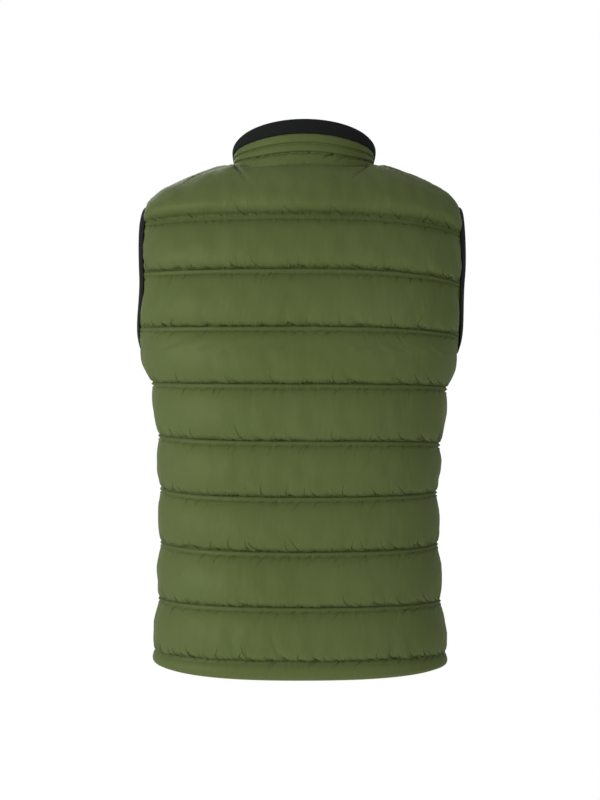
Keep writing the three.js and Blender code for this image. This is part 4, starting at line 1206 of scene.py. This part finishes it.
# Zip: a moulded nylon coil on two woven tapes, sewn in behind the front edges, closed up to the
# slider at its top. The tapes end in a metal box at the hem.
TAPE_FROM = 0.5
TAPE_TO = 15
TAPE_BEHIND = 0.3
TAPE_THICKNESS = 0.9
CAD_ACROSS = FRONT_COLUMNS // 12  # columns that the tape's slant is taken over
CAD_TURN_SHARE = 0.93
zip_shares = np.array([-0.05, 0.1, 0.23, 0.36, 0.48, 0.6, 0.72, 0.85, 0.97])
inside_front = left_cloth["point"] - left_cloth["normal"] * WALL
under_neck = left_cloth["point"][:, 0, 2] < NECK_AT_ZIP[2] - TWIN_ROWS
zip_points = inside_front[under_neck, 0]
zip_across = unit(inside_front[under_neck, CAD_ACROSS] - zip_points)
zip_facing = left_cloth["normal"][under_neck, 0]
collar_line = []
for turn in (TURN_AT_ZIP, TURN_AT_SHOULDER + (TURN_AT_ZIP - TURN_AT_SHOULDER) * CAD_TURN_SHARE):
    point, normal, _ = collar_frame(turn + 0 * zip_shares, zip_shares)
    collar_line.append((point - normal * COLLAR_INSIDE, normal))
zip_points = np.concatenate([zip_points, collar_line[0][0]])
zip_across = np.concatenate([zip_across, unit(collar_line[1][0] - collar_line[0][0])])
zip_facing = np.concatenate([zip_facing, collar_line[0][1]])
zip_flat = unit(zip_facing * (0, 1, 1))


def zip_places(x, depth):
    """The zip's line at a distance from the middle and a depth behind the cloth."""
    share = (x - zip_points[:, :1]) / zip_across[:, :1]
    return zip_points + zip_across * share - zip_flat * depth


polyester, tree, shader = new_material("woven_polyester_tape")
tape_map = add_node(tree, "ShaderNodeUVMap", uv_map="cut").outputs["UV"]
twill_at = add_node(tree, "ShaderNodeMapping", {"Vector": tape_map, "Rotation": (0, 0, math.radians(45))})
twill = add_node(tree, "ShaderNodeTexWave", {"Vector": twill_at.outputs["Vector"], "Scale": 60})
cords = add_node(tree, "ShaderNodeBump", {"Height": twill.outputs["Fac"], "Strength": 0.6, "Distance": 0.0003})
dye = add_node(tree, "ShaderNodeMix", {"Factor": twill.outputs["Fac"]}, data_type="RGBA")
dye.inputs[6].default_value = linear("#111312")
dye.inputs[7].default_value = linear("#1d201e")
tree.links.new(dye.outputs[2], shader.inputs["Base Color"])
tree.links.new(cords.outputs["Normal"], shader.inputs["Normal"])
shader.inputs["Roughness"].default_value = 0.8
far = TAPE_BEHIND + TAPE_THICKNESS
tape_section = rounded(((TAPE_FROM, TAPE_BEHIND), (TAPE_TO, TAPE_BEHIND), (TAPE_TO, far), (TAPE_FROM, far)), 16)
tape_length = run_along(zip_points)[-1] * MM
for hand_name, sign in (("left", 1), ("right", -1)):
    rings = np.swapaxes(np.array([zip_places(x, depth) for x, depth in tape_section]), 0, 1)
    tape = tube_object(f"zip_tape_cloth_{hand_name}", leaned(rings * (sign, 1, 1)), False)
    finish_piece(tape, "vest", "zip_tape", polyester, f"zip_tape_{hand_name}")

TOOTH_PITCH = 1.9
TOOTH_SIZE = (3.3, 1.25, 2.2)  # across, along and through the zip
TOOTH_OFF = 1.1
COIL_BEFORE = 0.8  # how far the coil's middle stands before the tapes that it is sewn to
TEETH_FOOT = 10.6
TEETH_UNDER_TOP = 14.3
nylon, tree, shader = new_material("moulded_nylon_coil")
coords = add_node(tree, "ShaderNodeTexCoord").outputs["Object"]
grain = add_node(tree, "ShaderNodeTexNoise", {"Vector": coords, "Scale": 900, "Detail": 2})
pitted = add_node(tree, "ShaderNodeBump", {"Height": grain.outputs["Fac"], "Strength": 0.2, "Distance": 0.0002})
tree.links.new(pitted.outputs["Normal"], shader.inputs["Normal"])
shader.inputs["Base Color"].default_value = linear("#0e100f")
shader.inputs["Roughness"].default_value = 0.38
middle_line = leaned(zip_places(0, TAPE_BEHIND - COIL_BEFORE))
runs = run_along(middle_line)
wanted = np.arange(TEETH_FOOT + TOOTH_PITCH / 2, runs[-1] - TEETH_UNDER_TOP, TOOTH_PITCH)
tooth_at = np.stack([np.interp(wanted, runs, middle_line[:, k]) for k in range(3)], -1)
tooth_up = np.gradient(middle_line, axis=0)
tooth_up = unit(np.stack([np.interp(wanted, runs, tooth_up[:, k]) for k in range(3)], -1))
tooth_side = unit(np.cross(tooth_up, (0, 1, 0)))
tooth_out = np.cross(tooth_side, tooth_up)
tooth_at = tooth_at + tooth_side * np.where(np.arange(len(wanted)) % 2, TOOTH_OFF, -TOOTH_OFF)[:, None]
tooth = bmesh.new()
bmesh.ops.create_cube(tooth, size=1)
bmesh.ops.bevel(
    tooth, geom=tooth.edges[:], offset=0.22, offset_type="OFFSET", segments=1, profile=0.5, affect="EDGES", material=-1
)
turns = np.stack([tooth_side * TOOTH_SIZE[0], tooth_up * TOOTH_SIZE[1], tooth_out * TOOTH_SIZE[2]], axis=-1)
teeth = joined_copies("zip_coil", tooth, tooth_at, turns)
tooth.free()
finish_piece(teeth, "vest", "zip_teeth", nylon, "zip_teeth")

# Slider, pull and box: die-cast zinc, tumbled and plated gunmetal, a little worn at the edges.
zinc, tree, shader = new_material("gunmetal_plated_zinc")
coords = add_node(tree, "ShaderNodeTexCoord").outputs["Object"]
wear = add_node(tree, "ShaderNodeTexNoise", {"Vector": coords, "Scale": 260, "Detail": 3})
plate = add_node(tree, "ShaderNodeMix", {"Factor": wear.outputs["Fac"]}, data_type="RGBA")
plate.inputs[6].default_value = linear("#3d3f41")
plate.inputs[7].default_value = linear("#5c5e60")
dull = add_node(tree, "ShaderNodeMapRange", {"Value": wear.outputs["Fac"], "To Min": 0.28, "To Max": 0.42})
tree.links.new(plate.outputs[2], shader.inputs["Base Color"])
tree.links.new(dull.outputs["Result"], shader.inputs["Roughness"])
shader.inputs["Metallic"].default_value = 1.0
for node in ("zip_slider", "zip_pull", "zip_box"):
    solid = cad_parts[node]
    solid = bpy.data.objects[solid] if isinstance(solid, str) else solid
    solid.data.materials.clear()
    solid.data.materials.append(zinc)

# Light: a large soft box high on the left, a weaker one on the right, and an even white room.
def soft_box(name, place, aim, size, watts):
    data = bpy.data.lights.new(name, "AREA")
    data.size = size
    data.energy = watts
    lamp = bpy.data.objects.new(name, data)
    lamp.location = place
    lamp.rotation_euler = (Vector(aim) - Vector(place)).to_track_quat("-Z", "Y").to_euler()
    bpy.context.collection.objects.link(lamp)


AIM = (0, 0, -0.33)
soft_box("key", (2.0, 1.7, 0.0), AIM, 1.0, 36)
soft_box("fill", (-1.4, 2.1, -0.3), AIM, 1.6, 9)
soft_box("front_fill", (0.6, -2.2, 0.9), AIM, 1.8, 20)
ROOM_LIGHT = 0.46  # on the wall at the wearer's left
ROOM_SHADE = 0.3
world = bpy.data.worlds.new("white_room")
world.use_nodes = True
room = world.node_tree
seen = add_node(room, "ShaderNodeLightPath").outputs["Is Camera Ray"]
way = add_node(room, "ShaderNodeTexCoord").outputs["Generated"]
leftward = add_node(room, "ShaderNodeSeparateXYZ", {"Vector": way}).outputs["X"]
wall = add_node(
    room, "ShaderNodeMapRange", {"Value": leftward, "From Min": -1, "To Min": ROOM_SHADE, "To Max": ROOM_LIGHT}
)
strength = add_node(room, "ShaderNodeMapRange", {"Value": seen, "To Min": wall.outputs["Result"], "To Max": 1})
room.nodes["Background"].inputs["Color"].default_value = (1, 1, 1, 1)
room.links.new(strength.outputs["Result"], room.nodes["Background"].inputs["Strength"])
bpy.context.scene.world = world
bpy.context.scene.view_settings.view_transform = "Standard"

# Studio: a plain white floor well below the vest, which is filled out and held as if worn.
FLOOR = -1.9
SWEEP_HALF = 1.6
sweep_profile = bmesh.new()
bmesh.ops.create_grid(sweep_profile, x_segments=1, y_segments=1, size=SWEEP_HALF)
sweep_mesh = bpy.data.meshes.new("floor")
bmesh.ops.translate(sweep_profile, verts=sweep_profile.verts, vec=(0, 0, FLOOR))
sweep_profile.to_mesh(sweep_mesh)
sweep_profile.free()
floor = bpy.data.objects.new("floor", sweep_mesh)
bpy.context.collection.objects.link(floor)
paper, tree, shader = new_material("white_paper")
shader.inputs["Base Color"].default_value = (0.9, 0.9, 0.9, 1)
shader.inputs["Roughness"].default_value = 0.9
shader.inputs["Emission Color"].default_value = (1, 1, 1, 1)
shader.inputs["Emission Strength"].default_value = 0.45
sweep_mesh.materials.append(paper)
